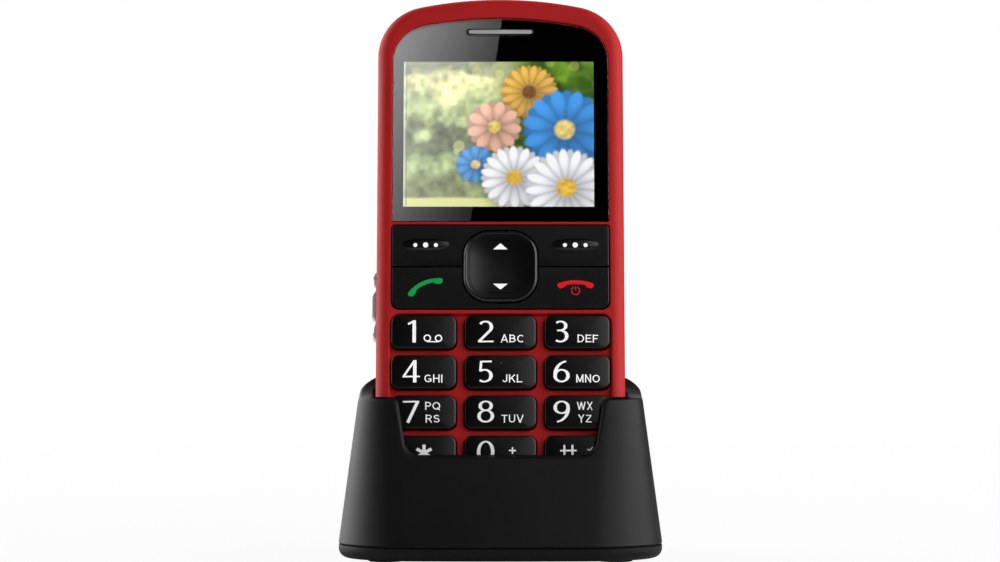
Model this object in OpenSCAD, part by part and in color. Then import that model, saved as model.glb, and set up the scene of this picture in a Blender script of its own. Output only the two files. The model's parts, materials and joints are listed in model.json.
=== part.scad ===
// Easy-to-use bar phone standing in its desktop charging cradle, in millimetres.
// The phone's pieces are drawn lying on their back, with the bottom edge along the X axis:
// x runs across, y up the phone and z from the back to the front. stand() tips them into the cradle.
// The origin is on the table under the middle of the cradle's base, +Z is up and the screen faces -Y.

/* [Phone body] */
// Width of the phone
phone_w = 58; // [57:0.5:60]
// Height of the phone
phone_h = 123.3; // [122.8:0.1:129]
// Thickness of the phone from the back to the front face
phone_t = 14; // [14:0.1:16]
// Radius of the shallow arch along the top edge
crown_r = 92; // [85:1:160]
// Radius of the two top corners
top_corner_r = 12.5; // [10:0.5:14]
// Radius of the two bottom corners
bottom_corner_r = 9; // [6:0.5:10]
// Radius of the rounded edge round the front face
front_edge_r = 3.6; // [2.5:0.1:4.2]
// Radius of the rounded edge round the back
rear_edge_r = 3.5; // [2.5:0.1:4.2]
// Thickness of the housings' side walls
wall = 1.6; // [1.4:0.1:1.8]
// Thickness of the front face
face_t = 2.4; // [2.2:0.1:2.5]
// Thickness of the back
rear_t = 1.5; // [1.3:0.1:1.7]
// Height above the back where the two housings meet
split_h = 5; // [4.5:0.1:5.2]
// Height of the rear housing's locating lip
lip_h = 0.6; // [0.4:0.1:0.7]

/* [Display] */
// Distance from the phone's side to the display window
window_margin = 3.5; // [3.3:0.05:3.9]
// Height of the display window
window_h = 50.5; // [50:0.5:52]
// Distance from the top of the phone down to the window
window_drop = 5.5; // [5.3:0.1:5.9]
// Radius of the arch along the window's top edge
window_crown_r = 92; // [70:1:105]
// Radius of the window's top corners
window_corner_r = 9; // [7:0.5:11]
// Thickness of the window
window_t = 1.2; // [1:0.05:1.3]
// Depth of the window below the front face
window_sink = 0.1; // [0.05:0.05:0.2]
// Thickness of the black print behind the window
mask_t = 0.1; // [0.05:0.05:0.15]
// Distance from the window's side to the picture
picture_margin = 3.5; // [3.25:0.05:4]
// Height of the picture
picture_h = 35.8; // [34:0.1:36]
// Distance from the window's lower edge up to the picture
picture_rise = 3.6; // [3.2:0.1:4]
// Border of the display glass round the picture
display_border = 1.9; // [1.5:0.1:2]
// Thickness of the display glass
display_t = 1; // [0.8:0.1:1.2]
// Length of the earpiece slot
earpiece_w = 16; // [12:0.5:18]
// Height of the earpiece slot
earpiece_h = 1.25; // [1:0.05:1.6]
// Distance from the window's top edge down to the earpiece
earpiece_drop = 3.45; // [3:0.05:3.8]

/* [Keys] */
// Distance from the phone's side to the panel of function keys
panel_margin = 3.6; // [3.4:0.05:3.9]
// Height of the panel of function keys
panel_h = 20.4; // [20:0.1:20.8]
// Gap between the display window and the function keys
panel_drop = 0.8; // [0.7:0.05:1]
// Radius of the panel's lower corners
panel_corner_r = 1.8; // [1:0.1:3]
// Height of the function keys above the front face
panel_rise = 0.25; // [0.1:0.05:0.5]
// Gap between neighbouring function keys
seam = 0.3; // [0.2:0.05:0.5]
// Width and height of the navigation key
nav_w = 17.3; // [15:0.1:18]
// Corner radius of the navigation key
nav_corner_r = 6; // [4:0.1:7]
// Height of the navigation key above the front face
nav_rise = 0.9; // [0.6:0.1:1]
// Width of the navigation key's bevelled rim
nav_bevel = 0.9; // [0.5:0.1:1.2]
// Depth of the navigation key's dish
nav_dish = 0.45; // [0.2:0.05:0.5]
// Length of the raised grip on a soft key
grip_l = 11; // [8:0.5:12]
// Width of the raised grip on a soft key
grip_w = 3.2; // [2:0.1:3.6]
// Height of the raised grip on a soft key
grip_rise = 0.4; // [0.2:0.05:0.5]
// Width of the number keys in the middle
key_mid_w = 16.6; // [15:0.1:17]
// Gap between the columns of number keys
key_gap = 1.95; // [1.8:0.05:2.1]
// Gap between the rows of number keys
row_gap = 1.65; // [1.6:0.05:1.8]
// Distance from the phone's bottom up to the lowest row
keypad_rise = 7.75; // [7.5:0.05:9]
// Gap between the function keys and the first row
key_drop = 1.6; // [1.5:0.05:1.8]
// Corner radius of the number keys
key_corner_r = 1.8; // [1:0.1:2.5]
// Radius of the crown across a number key
key_crown_r = 55; // [40:1:90]
// Radius along a number key's top edges
key_edge_r = 0.5; // [0.3:0.05:0.6]
// Height of a number key's crown above the front face
key_rise = 0.75; // [0.5:0.05:0.8]
// Travel of a key
key_travel = 0.4; // [0.25:0.05:0.45]
// Gap round a key in its opening
key_clear = 0.15; // [0.1:0.05:0.2]
// Width of the hidden flange round a key
flange_w = 0.6; // [0.4:0.05:0.6]
// Thickness of the hidden flange round a key
flange_t = 0.6; // [0.4:0.05:0.6]

/* [Side and back controls] */
// Length of the volume rocker
rocker_l = 16.9; // [15:0.1:18]
// Width of the volume rocker, through the phone's thickness
rocker_w = 3.3; // [2.8:0.1:3.4]
// Height of the rocker's middle above the phone's side
rocker_rise = 1.2; // [0.8:0.1:1.4]
// Height of the rocker's ends above the phone's side
rocker_end_rise = 0.8; // [0.5:0.05:0.9]
// Distance from the phone's bottom to the middle of the rocker
rocker_y = 48.1; // [46:0.1:49]
// Radius of the rocker's hinge pin
rocker_pin_r = 0.45; // [0.35:0.05:0.5]
// Radius of the call-for-help button
sos_r = 4.5; // [4:0.1:5]
// Travel of the call-for-help button
sos_travel = 0.5; // [0.3:0.05:0.6]
// Radius of the camera's window
camera_r = 3.2; // [2.8:0.1:3.4]
// Distance from the phone's top down to the camera
camera_drop = 8; // [7.5:0.1:8.5]
// Gap between the camera's window and the call-for-help button's flange
camera_gap = 3.2; // [2.5:0.1:4]
// Radius of the torch lens in the top edge
torch_r = 1.8; // [1.4:0.1:2]

/* [Battery and boards] */
// Width of the battery
battery_w = 34; // [32:0.5:35]
// Thickness of the battery
battery_t = 4.8; // [4.4:0.1:4.8]
// Gap round the battery
battery_gap = 0.3; // [0.2:0.05:0.4]
// Thickness of the card holder under the battery
sim_t = 1; // [0.8:0.1:1]
// Wall of the battery compartment
tub_t = 0.8; // [0.7:0.05:0.8]
// Distance from the phone's side to the battery cover
cover_margin = 5; // [4.5:0.5:7]
// Thickness of the battery cover
cover_t = 1.4; // [1.2:0.1:1.4]
// Corner radius of the battery cover
cover_corner_r = 4; // [2:0.5:6]
// Gap round the battery cover
cover_gap = 0.15; // [0.1:0.05:0.25]
// Thickness of the circuit boards
board_t = 1; // [0.8:0.1:1]
// Gap between the edge of the main board and the housing's outline
board_inset = 3; // [2.6:0.1:3.2]
// Radius of the phone's screws
screw_r = 0.75; // [0.6:0.05:0.8]
// Radius of the phone's screw heads
screw_head_r = 1.4; // [1.2:0.05:1.5]

/* [Cradle] */
// Backward lean of the phone in degrees
lean = 17; // [14:0.5:18]
// Depth of the cradle's base
base_d = 58; // [56:1:66]
// Height of the line where the cradle's shell meets its base
base_h = 3.85; // [3.6:0.05:4.2]
// Height of the phone's lower back edge above the table
seat_h = 9.95; // [9.9:0.05:11]
// Thickness of the cradle's walls
cradle_wall = 2.4; // [2:0.1:2.6]
// Thickness of the cradle's side walls at the top of the rim
rim_wall = 2.9; // [2.4:0.1:3.2]
// Thickness of the floor under the phone
floor_t = 2; // [1.6:0.1:2]
// Gap between the phone and the pocket's floor
seat_gap = 0.1; // [0.05:0.05:0.2]
// Gap between the phone and the pocket's sides and back
pocket_gap = 0.4; // [0.3:0.1:0.6]
// Gap between the phone's face and the front wall
front_gap = 1.2; // [1.1:0.1:1.5]
// Draft of the cradle's sides in degrees
side_draft = 7.7; // [6:0.1:10]
// Height of the two front horns
horn_h = 37.75; // [34:0.05:38.5]
// Length of the level rim behind the horns
rim_level = 9.4; // [6:0.1:10]
// Radius of the sweep from the level rim up to the back
rim_r = 20; // [19:0.5:30]
// Corner radius of the cradle at the base
base_corner_r = 17; // [12:0.5:20]
// Corner radius of the cradle at the rim
rim_corner_r = 8; // [5:0.5:9]
// Height of the lower edge of the front notch
notch_h = 24.55; // [20:0.05:27]
// Distance that each horn reaches in front of the phone, at the notch's lower edge
horn_reach = 7.4; // [6.5:0.1:11]
// Flare of the front notch's sides in degrees
notch_flare = 9.5; // [4:0.5:11]
// Radius in the lower corners of the front notch
notch_r = 3.4; // [1.5:0.1:4]
// Radius over the inner corners of the horns
horn_r = 1.8; // [1:0.1:3]
// Radius round the underside of the base
base_edge_r = 2.2; // [1.5:0.1:2.2]
// Height of the dark line between shell and base
groove_h = 0.25; // [0.15:0.05:0.35]
// Radius of the rubber feet
foot_r = 4; // [3:0.1:4.5]
// Height of the rubber feet below the base
foot_rise = 0.6; // [0.4:0.1:0.8]
// Thickness of the base plate
plate_t = 2; // [1.8:0.1:2.2]
// Thickness of the steel ballast plate
ballast_t = 2.5; // [1.5:0.1:2.6]
// Radius of a charging pin
pin_r = 1; // [0.8:0.05:1.1]
// Travel of a charging pin
pin_travel = 0.8; // [0.4:0.1:1]
// Distance of each charging contact from the middle
contact_x = 9.5; // [9:0.1:10]
// Height of a charging contact above the phone's back
contact_z = 7; // [6.8:0.1:7.2]
// Width of the charging inlet and of the phone's socket
socket_w = 7.5; // [7.4:0.1:7.8]
// Height of the charging inlet and of the phone's socket
socket_h = 2.6; // [2.5:0.05:2.7]

/* [Hidden] */
$fn = 48;
corner_steps = 10;
crown_steps = 14;
edge_steps = 8;
rim_steps = 32;
eps = 0.01;
// Gap left between faces of neighbouring pieces that only lie against each other
fit = 0.05;

KEY_NODES = ["key_1", "key_2", "key_3", "key_4", "key_5", "key_6", "key_7", "key_8", "key_9",
    "key_star", "key_0", "key_hash"];

// Heights in the phone's stack, from the back forwards
half_w = phone_w / 2;
battery_z = rear_t + 0.2;
sim_z = battery_z + battery_t + 0.1;
board_z = sim_z + sim_t + tub_t;
board_top = board_z + board_t;
dome_sheet_t = 0.2;
dome_h = 0.28;
dome_r = 2.2;
dome_tip = board_top + dome_sheet_t + dome_h;
mat_top = board_top + dome_sheet_t + 0.7;
face_z = phone_t - face_t;
flange_top = face_z - fit;
flange_z = flange_top - flange_t;
plunger_z = dome_tip + key_travel + fit;
plunger_r = 1.3;
window_top_z = phone_t - window_sink;
window_z = window_top_z - window_t;
ledge_z = window_z - mask_t;
display_top = ledge_z - 0.1;

// Places up the phone
window_w = phone_w - 2 * window_margin;
window_y1 = phone_h - window_drop;
window_y0 = window_y1 - window_h;
picture_y0 = window_y0 + picture_rise;
picture_y1 = picture_y0 + picture_h;
picture_w = window_w - 2 * picture_margin;
display_y0 = picture_y0 - display_border;
display_y1 = picture_y1 + display_border;
display_w = picture_w + 2 * display_border;
earpiece_y = window_y1 - earpiece_drop;
panel_w = phone_w - 2 * panel_margin;
panel_y1 = window_y0 - panel_drop;
panel_y0 = panel_y1 - panel_h;
panel_y = (panel_y0 + panel_y1) / 2;
rows_y1 = panel_y0 - key_drop;
rows_y0 = keypad_rise;
key_h = (rows_y1 - rows_y0 - 3 * row_gap) / 4;
key_pitch = key_h + row_gap;
key_side_w = (panel_w - key_mid_w) / 2 - key_gap;
key_x = key_mid_w / 2 + key_gap + key_side_w / 2;
func_x = (panel_w / 2 + nav_w / 2) / 2 + 0.45;
func_y = panel_h / 4 + 0.3;
screw_x = half_w - 9;
screw_low_y = 4.6;
screw_high_y = phone_h - 10;
screw_spots = [for (sx = [-1, 1], y = [screw_low_y, screw_high_y]) [sx * screw_x, y]];
screw_floor = 2.2;
screw_end = face_z - 0.4;
screw_hole_r = screw_r + 0.05;
boss_r = screw_r + 1;
torch_z = 8;
nav_pivot_r = 0.8;
nav_pivot_z = mat_top + fit + nav_pivot_r;
nav_pivot_l = 8;
dish_r = 40;
dish_depth = 0.6;
mic_x = screw_x - 5;
mic_w = 3.2;
shield_w = 28;
shield_t = 1.8;
shield_low_y = 8;
sim_w = 16;
sim_l = 20;
sim_rim = 1.5;
sim_drop = 6;
antenna_w = 32;
antenna_low_y = 9;
antenna_slot = 2;
antenna_arm = 5;
motor_r = 4.5;
motor_t = 2.8;

// The cradle: where the phone sits and how the walls run
seat_y = -base_d / 2 + (front_gap + cradle_wall + phone_t) / cos(lean) - (base_h - seat_h) * tan(lean);
horn_y = -base_d / 2 + (horn_h - base_h) * tan(lean);
sweep_y = horn_y + rim_level;
function sweep_z(y) = horn_h + rim_r - sqrt(pow(rim_r, 2) - pow(y - sweep_y, 2));
function back_y(z) = seat_y + (z - seat_h) * tan(lean) + (pocket_gap + cradle_wall) / cos(lean);
rim_back_z = sweep_z(back_y(sweep_z(back_y(horn_h + 6))));
rim_back_y = back_y(rim_back_z);
shell_top = rim_back_z + 2;
back_slope = (base_d / 2 - rim_back_y) / (rim_back_z - base_h);
base_half = half_w + pocket_gap + rim_wall + (rim_back_z - base_h) * tan(side_draft);
plate_top = foot_rise + plate_t;
floor_y = -seat_gap - floor_t;
block_w = 2 * contact_x + 6;
block_l = pin_travel + 4.7;
block_t = 5.2;
foot_x = base_half - 11;
foot_sink = 0.4;
base_inset = 0.1;
lip_out = cradle_wall + 0.15;
lip_in = cradle_wall + 1.6;
ballast_w = 2 * foot_x - 2.4;
foot_y = base_d / 2 - 12;
cradle_screw_x = contact_x + 8;
cradle_screw_front = -base_d / 2 + 14;
cradle_screw_back = base_d / 2 - 10;
cradle_screw_r = 1.2;
cradle_head_r = 2.3;
inlet_l = 6;
ballast_clear = 4;
ballast_corner_r = 4;
board_post_x = 9;
board_post_r = 2;
cradle_board_w = 24;
cradle_board_lap = 5;
cradle_board_z = plate_top + ballast_t + 0.9;
cradle_board_top = cradle_board_z + board_t;
inlet_z = cradle_board_top + socket_h / 2;
inlet_y = base_d / 2 - (inlet_z - base_h) * back_slope - 0.9;

// The battery compartment starts just above the cradle's rim
cover_y0 = (rim_back_z - seat_h) / cos(lean) + 1.6;
tub_y0 = cover_y0 + 2.2;
contacts_l = 2.6;
battery_y0 = tub_y0 + contacts_l + 0.4 + battery_gap;
tub_w = battery_w + 2 * battery_gap;
cover_w = phone_w - 2 * cover_margin;
cover_drop = 1.4;
sos_flange_r = sos_r + 0.7;
camera_y = phone_h - camera_drop;
sos_y = camera_y - camera_r - camera_gap - sos_flange_r;
cover_y1 = sos_y - sos_flange_r - cover_drop;
cover_y = (cover_y0 + cover_y1) / 2;
cover_h = cover_y1 - cover_y0;
tub_y1 = cover_y1 - 2;
battery_h = tub_y1 - battery_gap - battery_y0;
thumb_drop = 9;
speaker_l = 15;
speaker_h = 9;
speaker_t = 4;
speaker_x = sos_flange_r + cover_drop + speaker_l / 2;
speaker_slot_l = 9;
speaker_slot_w = 0.9;
speaker_slot_pitch = 2;

// The volume rocker, hinged just inside the left wall
rocker_z0 = split_h + lip_h + 0.7;
ear_t = 0.5;
rocker_pin_x = -half_w + wall + 1.3;
rocker_hub_r = rocker_pin_r + 0.55;
rocker_gap = 0.2;

// Points of an arc about c, from angle a to angle b
function arc(c, r, a, b, n) =
    [for (i = [0:n]) c + r * [cos(a + (b - a) * i / n), sin(a + (b - a) * i / n)]];

// The same arc without its end points, for a run between two other arcs
function arc_between(c, r, a, b, n) =
    [for (i = [1:n - 1]) c + r * [cos(a + (b - a) * i / n), sin(a + (b - a) * i / n)]];

// Outline with an arched top, brought in by an even inset
function arch_outline(hw, y0, y1, crown, top_r, low_r, inset) =
    let (r = max(low_r - inset, 0.2),
        w = hw - inset - r,
        y = y0 + inset + r,
        cy = y1 - crown,
        tx = hw - top_r,
        ty = cy + sqrt(pow(crown - top_r, 2) - pow(tx, 2)),
        a = atan2(ty - cy, tx))
    concat(arc([w, y], r, -90, 0, corner_steps),
        arc([tx, ty], top_r - inset, 0, a, corner_steps),
        arc_between([0, cy], crown - inset, a, 180 - a, crown_steps),
        arc([-tx, ty], top_r - inset, 180 - a, 180, corner_steps),
        arc([-w, y], r, 180, 270, corner_steps));

function body_outline(inset) =
    arch_outline(half_w, 0, phone_h, crown_r, top_corner_r, bottom_corner_r, inset);

function window_outline(inset) =
    arch_outline(window_w / 2, window_y0, window_y1, window_crown_r, window_corner_r, 0.6, inset);

// Rounded rectangle as a ring of points about [x, y], at height z
function rect_ring(hw, y0, y1, r, z) =
    [for (p = concat(arc([hw - r, y0 + r], r, -90, 0, corner_steps),
            arc([hw - r, y1 - r], r, 0, 90, corner_steps),
            arc([r - hw, y1 - r], r, 90, 180, corner_steps),
            arc([r - hw, y0 + r], r, 180, 270, corner_steps)))
        [p.x, p.y, z]];

// The cradle's outer wall at height z, brought in by an inset
function shell_ring(inset, z) =
    let (k = (z - base_h) / (rim_back_z - base_h),
        hw = base_half - (z - base_h) * tan(side_draft) - inset,
        y0 = -base_d / 2 + (z - base_h) * tan(lean) + inset,
        y1 = base_d / 2 - (z - base_h) * back_slope - inset,
        r = max(base_corner_r + (rim_corner_r - base_corner_r) * k - inset, 0.6))
    rect_ring(hw, y0, y1, r, z);

function at_height(points, z) = [for (p = points) [p.x, p.y, z]];

// The base follows the wall's lowest outline
function base_ring(inset, z) = at_height(shell_ring(inset, base_h), z);

// Solid through a stack of rings with equally many points
module loft(rings) {
    n = len(rings[0]);
    last = len(rings) - 1;
    sides = [for (j = [0:last - 1], i = [0:n - 1])
        let (a = j * n + i, b = j * n + (i + 1) % n)
        each [[a, a + n, b + n], [a, b + n, b]]];
    polyhedron([for (r = rings) each r],
        concat([[for (i = [0:n - 1]) i]], [[for (i = [n - 1:-1:0]) last * n + i]], sides));
}

module slab(points, z0, z1) {
    translate([0, 0, z0]) linear_extrude(z1 - z0) polygon(points);
}

module rounded_rect(w, h, r) {
    square([w - 2 * r, h], center = true);
    square([w, h - 2 * r], center = true);
    for (sx = [-1, 1], sy = [-1, 1])
        translate([sx * (w / 2 - r), sy * (h / 2 - r)]) circle(r);
}

module rounded_slab(x, y, w, h, r, z0, z1) {
    translate([x, y, z0]) linear_extrude(z1 - z0) rounded_rect(w, h, r);
}

module block(x0, x1, y0, y1, z0, z1) {
    translate([x0, y0, z0]) cube([x1 - x0, y1 - y0, z1 - z0]);
}

module post(x, y, r, z0, z1) {
    translate([x, y, z0]) cylinder(h = z1 - z0, r = r);
}

// Round bar along the phone, from y0 to y1
module bar_y(x, z, r, y0, y1) {
    translate([x, y0, z]) rotate([-90, 0, 0]) cylinder(h = y1 - y0, r = r);
}

// Tips a piece of the phone into its place in the cradle
module stand() {
    translate([0, seat_y, seat_h]) rotate([90 - lean, 0, 0]) children();
}

// The phone's housings

module front_loft() {
    loft(concat([at_height(body_outline(0), split_h)],
        [for (i = [0:edge_steps])
            let (a = 90 * i / edge_steps)
            at_height(body_outline(front_edge_r * (1 - cos(a))),
                phone_t - front_edge_r + front_edge_r * sin(a))]));
}

module rear_loft() {
    loft(concat([for (i = [0:edge_steps])
            let (a = 90 * i / edge_steps)
            at_height(body_outline(rear_edge_r * (1 - sin(a))), rear_edge_r * (1 - cos(a)))],
        [at_height(body_outline(0), split_h)]));
}

module key_openings() {
    for (i = [0:11]) {
        spot = key_spot(i);
        rounded_slab(spot.x, spot.y, key_width(i) + 2 * key_clear, key_h + 2 * key_clear,
            key_corner_r + key_clear, face_z - 1, phone_t + 1);
    }
    translate([0, 0, face_z - 1]) linear_extrude(face_t + 2) panel_shape(key_clear);
}

module rocker_ears() {
    for (z = [rocker_z0 - 0.1 - ear_t, rocker_z0 + rocker_w + 0.1])
        block(-half_w + wall - 0.3, rocker_pin_x + rocker_pin_r + 0.5,
            rocker_y - 1.6, rocker_y + 1.6, z, z + ear_t);
}

module front_housing() {
    color("firebrick") stand()
    difference() {
        union() {
            difference() {
                front_loft();
                slab(body_outline(wall), split_h - 1, face_z);
                slab(body_outline(wall / 2), split_h - 1, split_h + lip_h + 0.1);
            }
            for (p = screw_spots) post(p.x, p.y, boss_r, board_top, face_z + 0.3);
            rocker_ears();
        }
        slab(window_outline(0), ledge_z, phone_t + 1);
        block(-display_w / 2 - 0.2, display_w / 2 + 0.2, display_y0 - 0.2, display_y1 + 0.2,
            face_z - 1, ledge_z + eps);
        rounded_slab(0, earpiece_y, earpiece_w - 3, earpiece_h - 0.2, 0.4, face_z - 1, phone_t);
        key_openings();
        block(-half_w - 1, -half_w + wall + 0.2, rocker_y - rocker_l / 2 - rocker_gap,
            rocker_y + rocker_l / 2 + rocker_gap, rocker_z0 - 0.1, rocker_z0 + rocker_w + 0.1);
        post(rocker_pin_x, rocker_y, rocker_pin_r + 0.02, split_h, rocker_z0 + rocker_w + 0.4);
        for (p = screw_spots) post(p.x, p.y, screw_hole_r, board_top - 1, screw_end + 0.1);
        for (s = [-1, 1]) bar_y(s * contact_x, contact_z, 1.55, -1, 0.55);
        block(-socket_w / 2 - 0.1, socket_w / 2 + 0.1, -1, wall + 0.5,
            board_z - socket_h - 0.15, board_z + 0.05);
        bar_y(mic_x, board_z - 0.7, 0.5, -1, wall + 0.5);
        bar_y(0, torch_z, torch_r + 0.08, phone_h - wall - 1, phone_h + 1);
    }
}

module rear_housing() {
    color("firebrick") stand()
    difference() {
        union() {
            difference() {
                rear_loft();
                slab(body_outline(wall), rear_t, split_h + 1);
            }
            difference() {
                slab(body_outline(wall / 2 + fit), split_h - 1, split_h + lip_h);
                slab(body_outline(wall), split_h - 2, split_h + lip_h + 1);
            }
            rounded_slab(0, cover_y, cover_w + 2, cover_h + 2, cover_corner_r + 1,
                rear_t - 0.3, rear_t + 1);
            block(-tub_w / 2 - tub_t, tub_w / 2 + tub_t, tub_y0 - tub_t, tub_y1 + tub_t,
                rear_t, board_z);
            for (p = screw_spots) post(p.x, p.y, boss_r + 0.4, rear_t - 0.3, board_z);
        }
        rounded_slab(0, cover_y, cover_w + 2 * cover_gap, cover_h + 2 * cover_gap,
            cover_corner_r + cover_gap, -1, rear_t);
        block(-tub_w / 2, tub_w / 2, tub_y0, tub_y1, -1, board_z - tub_t);
        for (p = screw_spots) {
            post(p.x, p.y, screw_head_r + 0.15, -1, screw_floor);
            post(p.x, p.y, screw_hole_r, 0, board_z + 1);
        }
        post(0, sos_y, sos_r + 0.1, -1, rear_t + 1);
        post(0, camera_y, camera_r + 0.05, -1, 0.9);
        post(0, camera_y, camera_r - 0.7, -1, rear_t + 1);
        for (i = [-1:1])
            rounded_slab(speaker_x, sos_y + speaker_slot_pitch * i, speaker_slot_l, speaker_slot_w,
                speaker_slot_w / 2 - eps, -1, rear_t + 1);
    }
}

module battery_cover() {
    color("firebrick") stand()
    difference() {
        rounded_slab(0, cover_y, cover_w, cover_h, cover_corner_r, 0, cover_t);
        // Thumb hollow near the top edge
        translate([0, cover_y1 - thumb_drop, dish_depth - dish_r]) sphere(dish_r, $fn = 120);
    }
}

// The display

module display_window() {
    color("lightgray", 0.6) stand()
    difference() {
        slab(window_outline(0.08), window_z, window_top_z);
        rounded_slab(0, earpiece_y, earpiece_w, earpiece_h, earpiece_h / 2 - eps,
            window_z - 1, window_top_z + 1);
    }
}

module window_mask() {
    color("black") stand()
    difference() {
        slab(window_outline(0.3), ledge_z, window_z);
        block(-picture_w / 2 - 0.3, picture_w / 2 + 0.3, picture_y0 - 0.3, picture_y1 + 0.3,
            ledge_z - 1, window_z + 1);
        rounded_slab(0, earpiece_y, earpiece_w, earpiece_h, earpiece_h / 2 - eps,
            ledge_z - 1, window_z + 1);
    }
}

module display_panel() {
    color("teal") stand()
    block(-display_w / 2, display_w / 2, display_y0, display_y1, display_top - display_t, display_top);
}

module display_frame() {
    color("silver") stand()
    block(-display_w / 2, display_w / 2, display_y0, display_y1, board_top, display_top - display_t);
}

module earpiece_grille() {
    color("silver") stand()
    rounded_slab(0, earpiece_y, earpiece_w - 0.1, earpiece_h - 0.1, earpiece_h / 2 - 0.05 - eps,
        ledge_z, window_top_z - 0.15);
}

module earpiece_receiver() {
    color("dimgray") stand()
    rounded_slab(0, earpiece_y, earpiece_w, 5.6, 1.5, face_z - 3, face_z - fit);
}

// The board and what it carries

module main_board() {
    color("darkgreen") stand()
    difference() {
        slab(body_outline(board_inset), board_z, board_top);
        for (p = screw_spots) post(p.x, p.y, screw_hole_r + 0.15, board_z - 1, board_top + 1);
        block(-earpiece_w / 2 - 0.6, earpiece_w / 2 + 0.6, earpiece_y - 3.4, phone_h,
            board_z - 1, board_top + 1);
        block(-half_w, rocker_pin_x + rocker_hub_r + 0.5, rocker_y - 3.4, rocker_y + 3.4,
            board_z - 1, board_top + 1);
    }
}

module dome_sheet() {
    color("gainsboro") stand() {
        block(-panel_w / 2 + 0.6, panel_w / 2 - 0.6, rows_y0, panel_y1 - 0.6,
            board_top, board_top + dome_sheet_t);
        for (spot = plunger_spots())
            translate([spot.x, spot.y, board_top + dome_sheet_t - 0.05])
                cylinder(h = dome_h + 0.05, r1 = dome_r, r2 = dome_r - 0.9);
    }
}

module keypad_mat() {
    color("dimgray") stand()
    difference() {
        block(-panel_w / 2 + 0.6, panel_w / 2 - 0.6, rows_y0, panel_y1 - 0.6,
            board_top + dome_sheet_t, mat_top);
        for (spot = plunger_spots()) post(spot.x, spot.y, dome_r + 0.4, board_top, mat_top + 1);
    }
}

module shield_can() {
    color("lightsteelblue") stand()
    rounded_slab(0, (shield_low_y + tub_y0) / 2, shield_w, tub_y0 - 2 * shield_low_y, 1,
        board_z - shield_t, board_z);
}

module side_switches() {
    color("dimgray") stand()
    for (s = [-1, 1])
        translate([-half_w + board_inset, rocker_y + s * 6 - 1.5, board_z - 1.6]) cube([1.6, 3, 1.6]);
}

module sos_switch() {
    color("dimgray") stand() {
        block(-3, 3, sos_y - 3, sos_y + 3, board_z - 3.4, board_z);
        post(0, sos_y, 1.5, rear_t + 0.9 + sos_travel + fit, board_z - 3);
    }
}

module battery_pack() {
    color("slategray") stand()
    rounded_slab(0, battery_y0 + battery_h / 2, battery_w, battery_h, 1.5,
        battery_z, battery_z + battery_t);
}

module battery_contacts() {
    color("gold") stand() {
        block(-6, 6, tub_y0, tub_y0 + contacts_l, battery_z + 1, board_z - tub_t);
        for (i = [-1:1])
            block(3.6 * i - 0.6, 3.6 * i + 0.6, tub_y0 + contacts_l - 0.1, battery_y0 - 0.1,
                battery_z + 1.6, battery_z + 4);
    }
}

module sim_holder() {
    color("silver") stand()
    difference() {
        block(-sim_w / 2, sim_w / 2, tub_y1 - sim_drop - sim_l, tub_y1 - sim_drop, sim_z, board_z - tub_t);
        block(sim_rim - sim_w / 2, sim_w / 2 - sim_rim, tub_y1 - sim_drop - sim_l + sim_rim, tub_y1,
            sim_z - 1, sim_z + 0.7 * sim_t);
    }
}

module loudspeaker() {
    color("dimgray") stand()
    rounded_slab(speaker_x, sos_y, speaker_l, speaker_h, 2.5, rear_t + fit, rear_t + speaker_t);
}

module vibration_motor() {
    color("silver") stand()
    post(-sos_flange_r - 2 - motor_r, sos_y, motor_r, rear_t + fit, rear_t + motor_t);
}

module camera_module() {
    color("dimgray") stand() {
        post(0, camera_y, camera_r - 0.9, 0.95, rear_t + 1);
        block(-3.2, 3.2, camera_y - 3.2, camera_y + 3.2, rear_t + fit, rear_t + 4.5);
    }
}

module camera_window() {
    color("lightgray", 0.6) stand() post(0, camera_y, camera_r, 0.1, 0.9);
}

module torch_lens() {
    color("lightgray", 0.6) stand() {
        bar_y(0, torch_z, torch_r, phone_h - wall - 0.5, phone_h - 0.1);
        bar_y(0, torch_z, torch_r + 0.7, phone_h - wall - 1, phone_h - wall - 0.1);
    }
}

module antenna() {
    color("gold") stand()
    difference() {
        block(-antenna_w / 2, antenna_w / 2, antenna_low_y, tub_y0 - 6, rear_t, rear_t + 0.3);
        for (i = [1, 2]) {
            y = antenna_low_y + i * (antenna_arm + antenna_slot);
            mirror([i - 1, 0, 0])
                block(antenna_arm - antenna_w / 2, antenna_w, y - antenna_slot, y, rear_t - 1, rear_t + 1);
        }
    }
}

// Shell of a small flat socket, open towards -y of the phone or +y of the cradle
module socket_shell(l) {
    difference() {
        cube([socket_w, l, socket_h], center = true);
        translate([0, -0.8, 0]) cube([socket_w - 0.6, l, socket_h - 0.6], center = true);
    }
    translate([0, 0.3, 0.3]) cube([socket_w - 3, l - 1.4, 0.6], center = true);
}

module usb_socket() {
    color("silver") stand()
    translate([0, 0.3 + 2.7, board_z - socket_h / 2 - fit]) socket_shell(5.4);
}

module microphone() {
    color("dimgray") stand()
    block(mic_x - mic_w / 2, mic_x + mic_w / 2, wall + 0.2, wall + 3, board_z - 1.3, board_z);
}

module charge_pads() {
    color("gold") stand() for (s = [-1, 1]) bar_y(s * contact_x, contact_z, 1.5, fit, 0.5);
}

module phone_screws() {
    color("silver") stand()
    for (p = screw_spots) {
        post(p.x, p.y, screw_head_r, screw_floor - 1.1, screw_floor);
        post(p.x, p.y, screw_r, screw_floor - 0.5, screw_end);
    }
}

// The keys

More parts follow.
